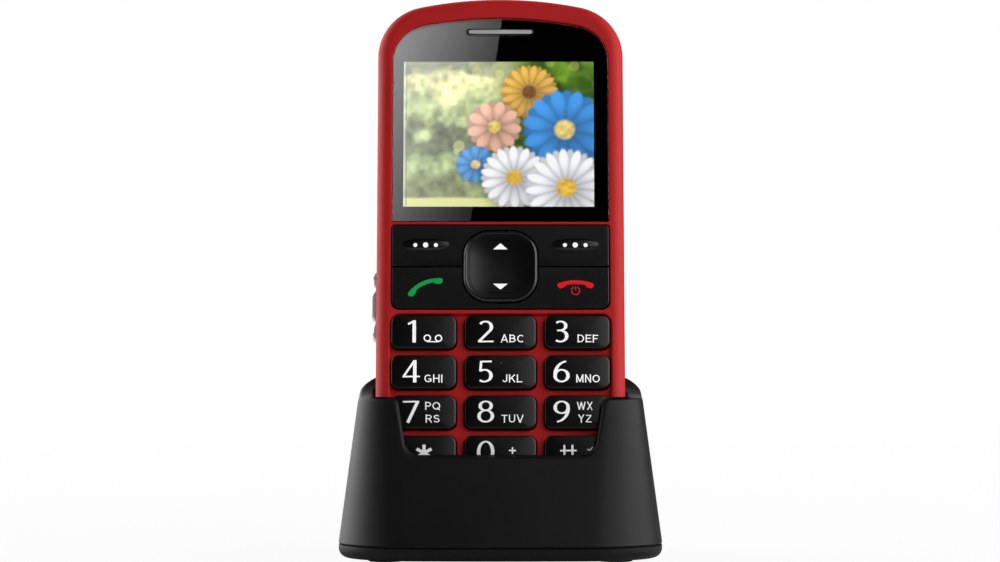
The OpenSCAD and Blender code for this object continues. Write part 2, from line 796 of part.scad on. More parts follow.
function key_width(i) = i % 3 == 1 ? key_mid_w : key_side_w;
function key_spot(i) = [(i % 3 - 1) * key_x, rows_y1 - key_h / 2 - floor(i / 3) * key_pitch];
function plunger_spots() =
    concat([for (i = [0:11]) key_spot(i)],
        [for (sx = [-1, 1], sy = [-1, 1]) [sx * func_x, panel_y + sy * func_y]],
        [for (sy = [-1, 1]) [0, panel_y + sy * nav_w / 3]]);

// Crowned profile across a key, rounded where it meets the sides
module crown_profile(w, top, low) {
    cz = top - key_crown_r;
    ez = cz + sqrt(pow(key_crown_r - key_edge_r, 2) - pow(w / 2 - key_edge_r, 2));
    tx = (w / 2 - key_edge_r) * key_crown_r / (key_crown_r - key_edge_r);
    intersection() {
        translate([0, cz]) circle(key_crown_r, $fn = 400);
        translate([-tx, low]) square([2 * tx, top + 1 - low]);
    }
    for (s = [-1, 1]) translate([s * (w / 2 - key_edge_r), ez]) circle(key_edge_r);
    translate([-w / 2, low]) square([w, ez - low]);
}

// Profile along a key, rounded at both ends
module end_profile(h, top, low) {
    translate([key_edge_r - h / 2, low]) square([h - 2 * key_edge_r, top + 1 - low]);
    translate([-h / 2, low]) square([h, top - key_edge_r - low]);
    for (s = [-1, 1]) translate([s * (h / 2 - key_edge_r), top - key_edge_r]) circle(key_edge_r);
}

module number_key(i) {
    w = key_width(i);
    spot = key_spot(i);
    top = phone_t + key_rise;
    color("black") stand() translate([spot.x, spot.y, 0]) {
        intersection() {
            rounded_slab(0, 0, w, key_h, key_corner_r, flange_z, top + 1);
            rotate([90, 0, 0]) linear_extrude(key_h + 2, center = true)
                crown_profile(w, top, flange_z - 1);
            rotate([90, 0, 90]) linear_extrude(w + 2, center = true)
                end_profile(key_h, top - 0.2, flange_z - 1);
        }
        rounded_slab(0, 0, w + 2 * flange_w, key_h + 2 * flange_w, key_corner_r + flange_w,
            flange_z, flange_top);
        post(0, 0, plunger_r, plunger_z, flange_z + 0.1);
    }
}

// Outline of the whole panel of function keys, grown by an even margin
module panel_shape(grow) {
    w = panel_w / 2 + grow;
    low = panel_corner_r + grow;
    high = 0.6 + grow;
    polygon(concat(arc([w - low, panel_y0 - grow + low], low, -90, 0, corner_steps),
        arc([w - high, panel_y1 + grow - high], high, 0, 90, corner_steps),
        arc([high - w, panel_y1 + grow - high], high, 90, 180, corner_steps),
        arc([low - w, panel_y0 - grow + low], low, 180, 270, corner_steps)));
}

module nav_hole() {
    translate([0, panel_y]) rounded_rect(nav_w + 2 * seam, nav_w + 2 * seam, nav_corner_r + seam);
}

// One quarter of the panel: sx and sy say which
module panel_quarter(sx, sy, grow) {
    difference() {
        intersection() {
            panel_shape(grow);
            translate([sx > 0 ? seam / 2 : -panel_w, sy > 0 ? panel_y + seam / 2 : panel_y - panel_h])
                square([panel_w - seam / 2, panel_h - seam / 2]);
        }
        nav_hole();
    }
}

module function_key(sx, sy) {
    translate([0, 0, flange_z]) linear_extrude(phone_t + panel_rise - flange_z) panel_quarter(sx, sy, 0);
    translate([0, 0, flange_z]) linear_extrude(flange_t) panel_quarter(sx, sy, flange_w);
    post(sx * func_x, panel_y + sy * func_y, plunger_r, plunger_z, flange_z + 0.1);
}

// Long lens-shaped grip: the top of a barrel lying across the key
module soft_key_grip(sx) {
    r = (pow(grip_w / 2, 2) + pow(grip_rise, 2)) / (2 * grip_rise);
    long_r = (pow(grip_l / 2, 2) + pow(grip_rise, 2)) / (2 * grip_rise);
    intersection() {
        translate([sx * func_x, panel_y + func_y, phone_t + panel_rise + grip_rise - r])
            rotate([0, 90, 0]) rotate_extrude($fn = 96) intersection() {
                translate([r - long_r, 0]) circle(long_r, $fn = 400);
                translate([0, -grip_l / 2 - 0.4]) square([r + 1, grip_l + 0.8]);
            }
        block(-panel_w / 2, panel_w / 2, panel_y, panel_y1,
            phone_t + panel_rise - 0.4, phone_t + panel_rise + 2);
    }
}

module soft_key(sx) {
    color("black") stand() {
        function_key(sx, 1);
        soft_key_grip(sx);
    }
}

module call_key() { color("black") stand() function_key(-1, -1); }
module end_key() { color("black") stand() function_key(1, -1); }

// Square key with a bevelled rim and a dished middle, rocking on a round bar
module nav_key() {
    top = phone_t + nav_rise;
    h = nav_w / 2;
    dish = [for (k = [0:3])
        let (s = 1 - k / 3)
        [nav_bevel + 0.25 + 1.9 * k, top - nav_dish * (1 - s * s)]];
    color("black") stand() {
        translate([0, panel_y, 0]) loft([for (p = concat(
            [[0, flange_z], [0, top - 0.6], [nav_bevel, top]], dish))
            rect_ring(h - p[0], p[0] - h, h - p[0], max(nav_corner_r - p[0], 0.4), p[1])]);
        for (sy = [-1, 1])
            post(0, panel_y + sy * nav_w / 3, plunger_r, plunger_z, flange_z + 0.1);
        translate([-nav_pivot_l / 2, panel_y, nav_pivot_z]) rotate([0, 90, 0])
            cylinder(h = nav_pivot_l, r = nav_pivot_r);
    }
}

// The rocker's height above the phone's side, at a distance t from its middle
function ease(a, b, t) = let (u = min(1, max(0, (t - a) / (b - a)))) u * u * (3 - 2 * u);
function rocker_height(t) =
    let (low = rocker_end_rise / 2, d = abs(t))
    low + (rocker_rise - low) * (1 - ease(0.12 * rocker_l, 0.24 * rocker_l, d))
    + (rocker_end_rise - low) * ease(0.25 * rocker_l, 0.33 * rocker_l, d)
    + 0.22 * (1 - ease(0, 0.7, abs(d - 0.4 * rocker_l)))
    - rocker_end_rise * pow(ease(0.42 * rocker_l, 0.5 * rocker_l, d), 2);

module volume_rocker() {
    steps = 56;
    inner_x = -half_w + wall - 0.3;
    color("silver") stand()
    difference() {
        union() {
            translate([0, 0, rocker_z0]) linear_extrude(rocker_w) polygon(concat(
                [[inner_x, rocker_y + rocker_l / 2]],
                [for (i = [0:steps]) let (t = rocker_l * (0.5 - i / steps))
                    [-half_w - rocker_height(t), rocker_y + t]],
                [[inner_x, rocker_y - rocker_l / 2]]));
            block(inner_x - 0.1, rocker_pin_x, rocker_y - rocker_hub_r, rocker_y + rocker_hub_r,
                rocker_z0, rocker_z0 + rocker_w);
            post(rocker_pin_x, rocker_y, rocker_hub_r, rocker_z0, rocker_z0 + rocker_w);
        }
        post(rocker_pin_x, rocker_y, rocker_pin_r + fit, rocker_z0 - 1, rocker_z0 + rocker_w + 1);
    }
}

module rocker_pin() {
    color("silver") stand()
    post(rocker_pin_x, rocker_y, rocker_pin_r, rocker_z0 - 0.1 - ear_t, rocker_z0 + rocker_w + 0.35);
}

module sos_button() {
    color("silver") stand()
    difference() {
        union() {
            post(0, sos_y, sos_r, 0.2, rear_t + 0.9);
            post(0, sos_y, sos_flange_r, rear_t + fit, rear_t + 0.9);
        }
        // Finger dish
        translate([0, sos_y, dish_depth - dish_r]) sphere(dish_r, $fn = 120);
    }
}

// The cradle

// The drafted wall as a solid, from one height to another
module shell_solid(inset, z0, z1) {
    loft([shell_ring(inset, z0), shell_ring(inset, z1)]);
}

// Straight well that the phone drops into, grown by an even margin
module pocket(grow, low) {
    w = phone_w + 2 * pocket_gap + 2 * grow;
    t = phone_t + pocket_gap + front_gap + 2 * grow;
    stand() translate([0, low, (phone_t + front_gap - pocket_gap) / 2])
        rotate([-90, 0, 0]) linear_extrude(phone_h / 2) rounded_rect(w, t, 3 + grow);
}

module notch() {
    half = half_w - horn_reach;
    low_c = [half + notch_r * tan(notch_flare) - notch_r / cos(notch_flare), notch_h + notch_r];
    top_c = [half + (horn_h - horn_r - notch_h) * tan(notch_flare) + horn_r / cos(notch_flare),
        horn_h - horn_r];
    side = concat(arc(low_c, notch_r, -90, -notch_flare, corner_steps),
        arc(top_c, horn_r, 180 - notch_flare, 90, corner_steps), [[top_c.x, shell_top + 1]]);
    translate([0, seat_y, 0]) rotate([90, 0, 0]) linear_extrude(base_d)
        polygon(concat(side, [for (i = [len(side) - 1:-1:0]) [-side[i].x, side[i].y]]));
}

// What is cut off above the rim: level in front, then swept up towards the back
module rim_sweep() {
    rise = arc([sweep_y, horn_h + rim_r], rim_r, -90, 0, rim_steps);
    rotate([90, 0, 90]) translate([0, 0, -base_half - 1]) linear_extrude(2 * base_half + 2)
        polygon(concat([[-base_d, horn_h]], rise, [[-base_d, horn_h + rim_r]]));
}

module at_cradle_screws() {
    for (sx = [-1, 1], y = [cradle_screw_front, cradle_screw_back])
        translate([sx * cradle_screw_x, y, 0]) children();
}

module at_feet() {
    for (sx = [-1, 1], sy = [-1, 1]) translate([sx * foot_x, sy * foot_y, 0]) children();
}

module inlet_window() {
    block(-socket_w / 2 - 0.35, socket_w / 2 + 0.35, inlet_y - 6, base_d, inlet_z - socket_h / 2 - 0.35,
        inlet_z + socket_h / 2 + 0.35);
}

module cradle_shell() {
    color("dimgray")
    difference() {
        shell_solid(0, base_h, shell_top);
        difference() {
            shell_solid(cradle_wall, base_h - 1, shell_top - 1);
            pocket(cradle_wall + 0.4, floor_y);
            at_cradle_screws() post(0, 0, 2.4, base_h - 2, shell_top);
        }
        pocket(0, -seat_gap);
        notch();
        rim_sweep();
        inlet_window();
        at_cradle_screws() post(0, 0, cradle_screw_r + fit, base_h - 2, base_h + 4.6);
        stand() for (s = [-1, 1]) bar_y(s * contact_x, contact_z, pin_r + 0.1, floor_y - 1, 1);
    }
}

module cradle_base() {
    color("dimgray")
    difference() {
        union() {
            difference() {
                loft(concat([for (i = [0:5])
                        let (a = 18 * i)
                        base_ring(base_inset + base_edge_r * (1 - sin(a)),
                            foot_rise + base_edge_r * (1 - cos(a)))],
                    [base_ring(base_inset, base_h - groove_h)]));
                shell_solid(lip_in, plate_top, base_h + 1);
            }
            difference() {
                shell_solid(lip_out, plate_top - 0.5, base_h + 1.4);
                shell_solid(lip_in - 0.2, plate_top - 1, base_h + 2);
            }
            for (s = [-1, 1])
                post(s * board_post_x, cradle_screw_back + 1, board_post_r,
                    plate_top - 0.2, cradle_board_z);
            at_cradle_screws() post(0, 0, 2.4, plate_top - 0.2, base_h - fit);
        }
        at_cradle_screws() {
            post(0, 0, cradle_head_r + 0.1, 0, foot_rise + 1.2);
            post(0, 0, cradle_screw_r + 0.15, 0, base_h + 1);
        }
        at_feet() post(0, 0, foot_r + fit, 0, foot_rise + foot_sink);
    }
}

module cradle_feet() {
    color("black")
    at_feet() post(0, 0, foot_r, 0, foot_rise + foot_sink);
}

module ballast_plate() {
    color("gray")
    rounded_slab(0, (cradle_screw_front + cradle_screw_back) / 2, ballast_w,
        cradle_screw_back - cradle_screw_front - 2 * ballast_clear, ballast_corner_r,
        plate_top, plate_top + ballast_t);
}

module cradle_board() {
    color("darkgreen")
    block(-cradle_board_w / 2, cradle_board_w / 2, cradle_screw_back - cradle_board_lap, inlet_y - 1.4,
        cradle_board_z, cradle_board_top);
}

module contact_block() {
    color("dimgray") stand()
    difference() {
        block(-block_w / 2, block_w / 2, floor_y - block_l, floor_y,
            contact_z - block_t / 2, contact_z + block_t / 2);
        for (s = [-1, 1]) {
            bar_y(s * contact_x, contact_z, pin_r + 0.1, floor_y - 2, floor_y + 1);
            bar_y(s * contact_x, contact_z, pin_r + 0.75, floor_y - block_l + 0.7, floor_y - 1.1);
        }
    }
}

module charge_pin(s) {
    color("gold") stand() {
        bar_y(s * contact_x, contact_z, pin_r, floor_y - 2, 0);
        bar_y(s * contact_x, contact_z, pin_r + 0.6, floor_y - 2.2, floor_y - 1.2);
        bar_y(s * contact_x, contact_z, pin_r - 0.2, floor_y - 3.2, floor_y - 2);
    }
}

module cradle_inlet() {
    color("silver")
    translate([0, inlet_y - inlet_l / 2, inlet_z]) mirror([0, 1, 0]) socket_shell(inlet_l);
}

module cradle_screws() {
    color("silver")
    at_cradle_screws() {
        post(0, 0, cradle_head_r, foot_rise, foot_rise + 1.2);
        post(0, 0, cradle_screw_r, foot_rise + 1, base_h + 4.4);
    }
}

front_housing();
rear_housing();
display_window();
window_mask();
display_panel();
display_frame();
earpiece_grille();
earpiece_receiver();
main_board();
dome_sheet();
keypad_mat();
shield_can();
side_switches();
sos_switch();
battery_pack();
battery_contacts();
sim_holder();
loudspeaker();
vibration_motor();
camera_module();
camera_window();
torch_lens();
antenna();
usb_socket();
microphone();
charge_pads();
phone_screws();
rocker_pin();
volume_rocker();
sos_button();
battery_cover();
soft_key(-1);  // left_soft_key
soft_key(1);  // right_soft_key
call_key();
end_key();
nav_key();
cradle_shell();
cradle_base();
cradle_feet();
ballast_plate();
cradle_board();
contact_block();
charge_pin(-1);  // charge_pin_left
charge_pin(1);  // charge_pin_right
cradle_inlet();
cradle_screws();
for (i = [0:11]) number_key(i);
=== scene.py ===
# %% [markdown]
# # A large-key phone in its charging cradle
# The frame holds every piece as exact CAD, in metres, standing on the table. This lesson gives the
# outside pieces the soft edges, the printed legends and the finishes that the real ones have, and
# leaves the hidden pieces in their CAD shape.

# %% Load the frame
import json
import math

import bmesh
import bpy
import numpy as np
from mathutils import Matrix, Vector
from mathutils.geometry import delaunay_2d_cdt

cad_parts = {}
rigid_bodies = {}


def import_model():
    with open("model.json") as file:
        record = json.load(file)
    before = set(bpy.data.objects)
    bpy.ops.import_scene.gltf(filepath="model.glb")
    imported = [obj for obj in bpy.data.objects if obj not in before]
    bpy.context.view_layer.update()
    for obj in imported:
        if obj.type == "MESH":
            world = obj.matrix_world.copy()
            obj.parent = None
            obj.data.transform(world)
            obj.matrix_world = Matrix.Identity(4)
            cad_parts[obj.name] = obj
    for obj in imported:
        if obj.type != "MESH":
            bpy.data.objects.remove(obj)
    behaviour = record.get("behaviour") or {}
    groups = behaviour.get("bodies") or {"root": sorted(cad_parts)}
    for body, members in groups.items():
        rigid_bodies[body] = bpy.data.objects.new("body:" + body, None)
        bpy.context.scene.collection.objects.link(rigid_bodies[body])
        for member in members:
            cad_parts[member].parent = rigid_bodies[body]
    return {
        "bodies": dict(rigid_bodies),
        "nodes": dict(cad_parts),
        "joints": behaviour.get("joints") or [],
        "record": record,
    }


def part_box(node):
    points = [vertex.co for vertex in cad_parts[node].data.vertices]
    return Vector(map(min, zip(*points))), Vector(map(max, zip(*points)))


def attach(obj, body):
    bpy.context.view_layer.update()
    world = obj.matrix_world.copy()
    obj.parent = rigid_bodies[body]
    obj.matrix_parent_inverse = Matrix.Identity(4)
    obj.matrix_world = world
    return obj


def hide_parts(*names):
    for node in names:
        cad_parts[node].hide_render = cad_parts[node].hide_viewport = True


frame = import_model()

MM = 0.001
nodes = frame["nodes"]
kept = set(nodes.values()) | set(frame["bodies"].values())
for stray in [o for o in bpy.data.objects if o not in kept]:
    bpy.data.objects.remove(stray)
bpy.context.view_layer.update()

# %% [markdown]
# The phone leans back in its cradle. It is easier to draw lying on its back, so everything on the
# phone is drawn in millimetres with x across, y up the phone and z from the back to the front.
# The direction in which the phone lifts out of the cradle is its y axis, so the frame gives us the lean.

# %% The phone's own axes
lift = next(j for j in frame["joints"] if j["name"] == "phone_lift")
UP = np.array(lift["axis"], float)
UP /= np.linalg.norm(UP)
ACROSS = np.array([1.0, 0.0, 0.0])
FRONT = np.cross(ACROSS, UP)
AXES = np.stack([ACROSS, UP, FRONT])


def node_points(name):
    """All vertices of a CAD node, in metres."""
    mesh = nodes[name].data
    flat = np.empty(len(mesh.vertices) * 3, np.float32)
    mesh.vertices.foreach_get("co", flat)
    return flat.reshape(-1, 3).astype(float)


back_low = (node_points("rear_housing") @ AXES.T).min(0)
ORIGIN = back_low[1] * UP + back_low[2] * FRONT


def stand(points):
    """Phone millimetres to metres on the table: the three axes weighted by x, y and z, from the origin."""
    return ORIGIN + MM * points @ AXES


def on_table(points):
    """Cradle millimetres to metres."""
    return MM * points


def phone_box(name):
    """Lowest and highest corner of a CAD node along the phone's axes, in millimetres."""
    local = (node_points(name) - ORIGIN) @ AXES.T / MM
    return local.min(0), local.max(0)


def table_box(name):
    """Lowest and highest corner of a CAD node as it stands on the table, in millimetres."""
    return [np.array(corner[:]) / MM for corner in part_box(name)]


def centre(lo, hi):
    """Middle of a box."""
    return (lo + hi) / 2


(_, _, split_z), (half_w, tall, thick) = phone_box("front_housing")
print(f"phone {2 * half_w:.1f} x {tall:.1f} x {thick:.1f} mm, housings meet at {split_z:.1f} mm")

# %% [markdown]
# Nearly every piece here is a profile carried round an outline. An outline is an array with a row per
# point: x, y and the outward normal. Arcs know their normals exactly, so an outline can be grown or
# shrunk without losing its shape. A curve object with a bevel would give the same walls, but not an edge
# whose every point we know, and the openings have to meet the walls point for point.

# %% Outlines
def arc(cx, cy, r, start, end, steps=10):
    """Arc of a circle. Running clockwise means that it is a hollow, so there the normal points inwards."""
    a = np.radians(np.linspace(start, end, steps + 1))
    ray = np.stack([np.cos(a), np.sin(a)], 1)
    return np.hstack([[cx, cy] + r * ray, ray if end > start else -ray])


def rounded_rect(x0, x1, y0, y1, low_r, high_r=None, steps=10):
    """Rectangle with one radius at the two lower corners and one at the two upper ones."""
    high_r = low_r if high_r is None else high_r
    return np.concatenate([
        arc(x1 - low_r, y0 + low_r, low_r, -90, 0, steps),
        arc(x1 - high_r, y1 - high_r, high_r, 0, 90, steps),
        arc(x0 + high_r, y1 - high_r, high_r, 90, 180, steps),
        arc(x0 + low_r, y0 + low_r, low_r, 180, 270, steps)])


def circle(cx, cy, r, steps=32):
    """Full circle, with the last point left out because the outline closes itself."""
    return arc(cx, cy, r, 0, 360, steps)[:-1]


def arched(half, y0, y1, crown_r, top_r, low_r, steps=14):
    """Upright outline with an arched top: two lower corners, two upper corners and a shallow arc that
    touches both upper corners."""
    cy = y1 - crown_r
    tx = half - top_r
    ty = cy + math.sqrt((crown_r - top_r) ** 2 - tx ** 2)
    a = math.degrees(math.atan2(ty - cy, tx))
    return np.concatenate([
        arc(half - low_r, y0 + low_r, low_r, -90, 0, steps),
        arc(tx, ty, top_r, 0, a, steps),
        arc(0, cy, crown_r, a, 180 - a, 2 * steps)[1:-1],
        arc(-tx, ty, top_r, 180 - a, 180, steps),
        arc(low_r - half, y0 + low_r, low_r, 180, 270, steps)])


def grown(outline, by):
    """The outline moved along its normals."""
    out = outline.copy()
    out[:, :2] += by * outline[:, 2:]
    return out


def mirrored(outline, sx, sy):
    """The outline mirrored in x or y, still running anticlockwise."""
    out = outline * [sx, sy, sx, sy]
    return out[::-1] if sx * sy < 0 else out


def unit(v):
    """Each row scaled to length one."""
    return v / np.maximum(np.linalg.norm(v, axis=-1, keepdims=True), 1e-9)


print("a rounded rectangle has", len(rounded_rect(0, 2, 0, 2, 0.5)), "points")

# %% [markdown]
# A profile is a cut through an edge, with a row per point: how far it stands out from the outline, and its
# height. Carried round the outline it makes a wall with a soft edge, because no moulded edge is quite
# sharp. Nearly all of them are a quarter round, and pieces on the back use the same profiles turned over.

# %% Profiles
def sweep(outline, profile):
    """Profile carried round an outline: point (j, i) is outline point i moved along its normal by
    profile[j][0], at the height profile[j][1]."""
    grow, height = np.asarray(profile, float).T
    xy = outline[None, :, :2] + grow[:, None, None] * outline[None, :, 2:]
    z = np.broadcast_to(height[:, None, None], xy.shape[:2] + (1,))
    return np.concatenate([xy, z], 2)


def round_in(r, depth, pad=0.05, steps=4):
    """Profile of the edge of an opening: a flat rim, a quarter round of radius r, then the wall."""
    a = np.radians(np.linspace(0, 90, steps + 1))
    quarter = np.stack([r - r * np.sin(a), r * np.cos(a) - r], 1)
    return np.concatenate([[[r + pad, 0]], quarter, [[0, -depth]]])


def round_out(r, low, top, pad=0.05, steps=5, wide=None):
    """Profile of an outer edge: up the wall from low, round a quarter of radius r (wide across, if that
    is given), then a flat rim."""
    wide = r if wide is None else wide
    a = np.radians(np.linspace(0, 90, steps + 1))
    quarter = np.stack([wide * np.cos(a) - wide, top - r + r * np.sin(a)], 1)
    return np.concatenate([[[0, low]], quarter, [[-wide - pad, top]]])


def round_under(r, low, pad, steps):
    """Profile of an outer edge seen from below: a flat rim at the height low, then a quarter of radius r."""
    a = np.radians(np.linspace(0, 90, steps + 1))
    quarter = np.stack([r * np.sin(a) - r, low + r - r * np.cos(a)], 1)
    return np.concatenate([[[-r - pad, low]], quarter])


def turned_over(profile, height=0.0):
    """The profile for the back of a piece: its heights count down from height, and its order is reversed, so
    that the faces still point outwards."""
    return (profile * [1, -1] + [0, height])[::-1]


print("a quarter round has", len(round_in(1.0, 1.0)), "points in its profile")

# %% [markdown]
# A `Skin` collects such swept surfaces and the flats between them and turns them into one mesh. The
# flats are triangulated between their outline and their openings. Where two surfaces share an edge
# their points fall on the same spot and are welded.

# %% From surfaces to a mesh
class Skin:
    """Points and faces of one piece, in millimetres."""

    def __init__(self):
        self.points, self.faces, self.count = [], [], 0

    def take(self, points, faces):
        """Adds points, and faces that count from the first of them."""
        self.points.append(points)
        self.faces += (np.asarray(faces) + self.count).tolist()
        self.count += len(points)

    def grid(self, points, closed=True, skip=None, place=None):
        """Four-sided faces over a grid of points (rows, columns, 3). skip names (row, column) of faces
        that are left out, and place moves the points."""
        rows, columns = points.shape[:2]
        index = np.arange(rows * columns).reshape(rows, columns)
        if closed:
            index = np.hstack([index, index[:, :1]])
        quads = np.stack([index[:-1, :-1], index[:-1, 1:], index[1:, 1:], index[1:, :-1]], 2)
        keep = np.ones(quads.shape[:2], bool)
        if skip is not None:
            keep[skip] = False
        flat = points.reshape(-1, 3)
        self.take(place(flat) if place else flat, quads[keep])

    def flat(self, outer, holes=(), height=0.0, up=True, place=None):
        """Triangles between an outline and its openings, at one height."""
        loops = [outer[:, :2], *[h[::-1, :2] for h in holes]]
        ends = np.cumsum([len(loop) for loop in loops])
        faces = [list(range(end - len(loop), end)) for end, loop in zip(ends, loops)]
        flat = [Vector(p) for p in np.concatenate(loops)]
        verts, _, tris, _, _, _ = delaunay_2d_cdt(flat, [], faces, 2, 1e-6)
        xy = np.array([v[:] for v in verts])
        points = np.column_stack([xy, np.full(len(xy), height)])
        tris = np.array(tris)
        self.take(place(points) if place else points, tris if up else tris[:, ::-1])


WELD, SLIVER = 2e-6, 1e-7


def piece(name, skin, material, body, replaces=(), place=stand, sharp=38):
    """Makes the mesh object, welds it, shades it smooth up to the sharp angle and lets it ride on a body."""
    name = name.replace(" ", "-")
    mesh = bpy.data.meshes.new(name)
    mesh.from_pydata(place(np.concatenate(skin.points)), [], skin.faces)
    work = bmesh.new()
    work.from_mesh(mesh)
    bmesh.ops.remove_doubles(work, verts=work.verts, dist=WELD)
    bmesh.ops.dissolve_degenerate(work, dist=SLIVER, edges=work.edges)
    work.to_mesh(mesh)
    work.free()
    mesh.shade_smooth()
    mesh.set_sharp_from_angle(angle=math.radians(sharp))
    mesh.materials.append(material)
    obj = bpy.data.objects.new(name, mesh)
    bpy.context.scene.collection.objects.link(obj)
    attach(obj, body)
    if replaces:
        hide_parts(*replaces)
    return obj


print("points closer than", WELD, "m are welded")

# %% [markdown]
# The finishes. Moulded plastic is never one flat colour: the gloss wanders a little across a part, and
# the mould's texture gives it a fine tooth. One function makes all of them from two noises in object
# coordinates, a slow one for colour and gloss and a fine one for the tooth.

# %% Finishes
SLOW_NOISE, PLASTIC_IOR = 14.0, 1.49


def new_material(name):
    """An empty material with its node tree and its shader."""
    material = bpy.data.materials.new(name)
    material.use_nodes = True
    tree = material.node_tree
    return material, tree, tree.nodes["Principled BSDF"]


def wire(tree, source, out, target, into):
    """Joins an output of one node to an input of another."""
    tree.links.new(source.outputs[out], target.inputs[into])


def noise(tree, size_mm, detail=2.0):
    """Noise in object coordinates with features of about that size."""
    where = tree.nodes.new("ShaderNodeTexCoord")
    tex = tree.nodes.new("ShaderNodeTexNoise")
    tex.inputs["Scale"].default_value = 1 / (size_mm * MM)
    tex.inputs["Detail"].default_value = detail
    wire(tree, where, "Object", tex, "Vector")
    return tex


def wandering_gloss(tree, shader, wander, low, high):
    """Roughness that follows a noise from low to high."""
    gloss = tree.nodes.new("ShaderNodeMapRange")
    gloss.inputs["To Min"].default_value = low
    gloss.inputs["To Max"].default_value = high
    wire(tree, wander, "Fac", gloss, "Value")
    wire(tree, gloss, "Result", shader, "Roughness")


def finish(name, colour, rough, grain=0.15, depth=0.004, vary=0.1, swing=0.04, metal=0.0, **sockets):
    """Colour and roughness follow a slow noise, by a share vary and a swing; the bump follows a fine
    noise of grain millimetres, depth millimetres deep."""
    material, tree, shader = new_material(name)
    slow = noise(tree, SLOW_NOISE)
    ramp = tree.nodes.new("ShaderNodeValToRGB")
    for stop, at, share in zip(ramp.color_ramp.elements, (0.3, 0.7), (1 - vary, 1 + vary)):
        stop.position = at
        stop.color = (*[min(1.0, c * share) for c in colour], 1.0)
    wire(tree, slow, "Fac", ramp, "Fac")
    wire(tree, ramp, "Color", shader, "Base Color")
    wandering_gloss(tree, shader, slow, rough - swing, rough + swing)
    bump = tree.nodes.new("ShaderNodeBump")
    bump.inputs["Strength"].default_value = 1.0
    bump.inputs["Distance"].default_value = depth * MM
    wire(tree, noise(tree, grain), "Fac", bump, "Height")
    wire(tree, bump, "Normal", shader, "Normal")
    shader.inputs["Metallic"].default_value = metal
    for socket, value in sockets.items():
        shader.inputs[socket.replace("_", " ")].default_value = value
    return material


def clear(name, tint, haze=0.006, wave=20.0):
    """Clear plastic whose gloss wanders by a trace, as a moulded window's does, over wave millimetres."""
    material, tree, shader = new_material(name)
    shader.inputs["Base Color"].default_value = (*tint, 1.0)
    shader.inputs["Transmission Weight"].default_value = 1.0
    shader.inputs["IOR"].default_value = PLASTIC_IOR
    wandering_gloss(tree, shader, noise(tree, wave), 0.0, haze)
    return material


def glowing(name, layer, base=0.0, rough=0.5):
    """Gives off light as the mesh's own colour attribute says."""
    material, tree, shader = new_material(name)
    colours = tree.nodes.new("ShaderNodeVertexColor")
    colours.layer_name = layer
    shader.inputs["Base Color"].default_value = (base, base, base, 1.0)
    shader.inputs["Roughness"].default_value = rough
    wire(tree, colours, "Color", shader, "Emission Color")
    shader.inputs["Emission Strength"].default_value = 1.0
    return material


print("the slow noise has features of", SLOW_NOISE, "mm")

# %% [markdown]
# The outside is red satin plastic, black plastic with more gloss on the keys than on the cradle, and a
# little silver paint. The legends' ink is given a glow, painted light that keeps it white. The glow is
# weaker on the third row and least on the fourth, as painted shade, so there are three strengths of the same
# ink.

# %% Finishes of the outside
red = finish("red satin plastic", (0.41, 0.0108, 0.0118), 0.56, vary=0.04, Specular_IOR_Level=0.14)
key_black = finish("black key plastic", (0.0008, 0.0008, 0.0008), 0.33, Specular_IOR_Level=0.36)
panel_black = finish("black function key plastic", (0.0016, 0.0019, 0.0022), 0.28, Specular_IOR_Level=0.42)
cradle_black = finish("black textured plastic", (0.0036, 0.0036, 0.0036), 0.49, grain=0.22, depth=0.012,
                      Specular_IOR_Level=0.18)
silver = finish("silver painted plastic", (0.74, 0.74, 0.75), 0.36, metal=0.2)
# The emission is painted light, and its weaker strengths on the lower rows are painted shade
white_ink_painted_glow, third_row_ink_painted_shade, fourth_row_ink_painted_shade = [
    finish("white ink with painted glow" + row, (0.85, 0.85, 0.85), 0.5, grain=0.08, vary=0.03,
           Emission_Color=(1.0, 1.0, 1.0, 1.0), Emission_Strength=painted_glow)
    for row, painted_glow in (("", 0.3), (" painted in shade for the third row", 0.14), (" painted in deeper shade for the fourth row", 0.03))]
green_ink = finish("green ink", (0.0, 0.37, 0.08), 0.6, grain=0.08, Specular_IOR_Level=0.2)
red_ink = finish("red ink", (0.82, 0.006, 0.012), 0.6, grain=0.08, Specular_IOR_Level=0.2)
mask_black = finish("black print", (0.0004, 0.0004, 0.0004), 0.5, Specular_IOR_Level=0.0)
window_clear = clear("clear window", (1.0, 1.0, 1.0))
lens_clear = clear("clear lens", (0.95, 0.96, 0.98))
rubber = finish("foot rubber", (0.015, 0.015, 0.015), 0.75, grain=0.3, depth=0.02)
print(len(bpy.data.materials), "materials so far")

# %% [markdown]
# The front housing is one moulding: side walls from the line where the housings meet, a large round
# edge, and a face with openings for the window, the function keys and the twelve number keys. The CAD
# boxes of those pieces say where the openings go. Keys have a flange under the face, so that they can't
# fall out, and the opening is the key's box less the flange, and a little clearance. A Boolean modifier
# could cut the openings, but would leave them sharp, so each is drawn with its own round edge.

# %% Openings of the front housing
CROWN_R, TOP_R, LOW_R = 92.0, 12.5, 9.0
CORNER_STEPS = 14
body_outline = arched(half_w, 0.0, tall, CROWN_R, TOP_R, LOW_R, CORNER_STEPS)
WINDOW_GAP, WINDOW_TOP_R, WINDOW_LOW_R = 0.08, 9.0, 0.6
window_lo, window_hi = phone_box("display_window")
window_half, window_top = window_hi[0] + WINDOW_GAP, window_hi[2]
window_outline = arched(window_half, window_lo[1] - WINDOW_GAP, window_hi[1] + WINDOW_GAP, CROWN_R,
                        WINDOW_TOP_R, WINDOW_LOW_R)

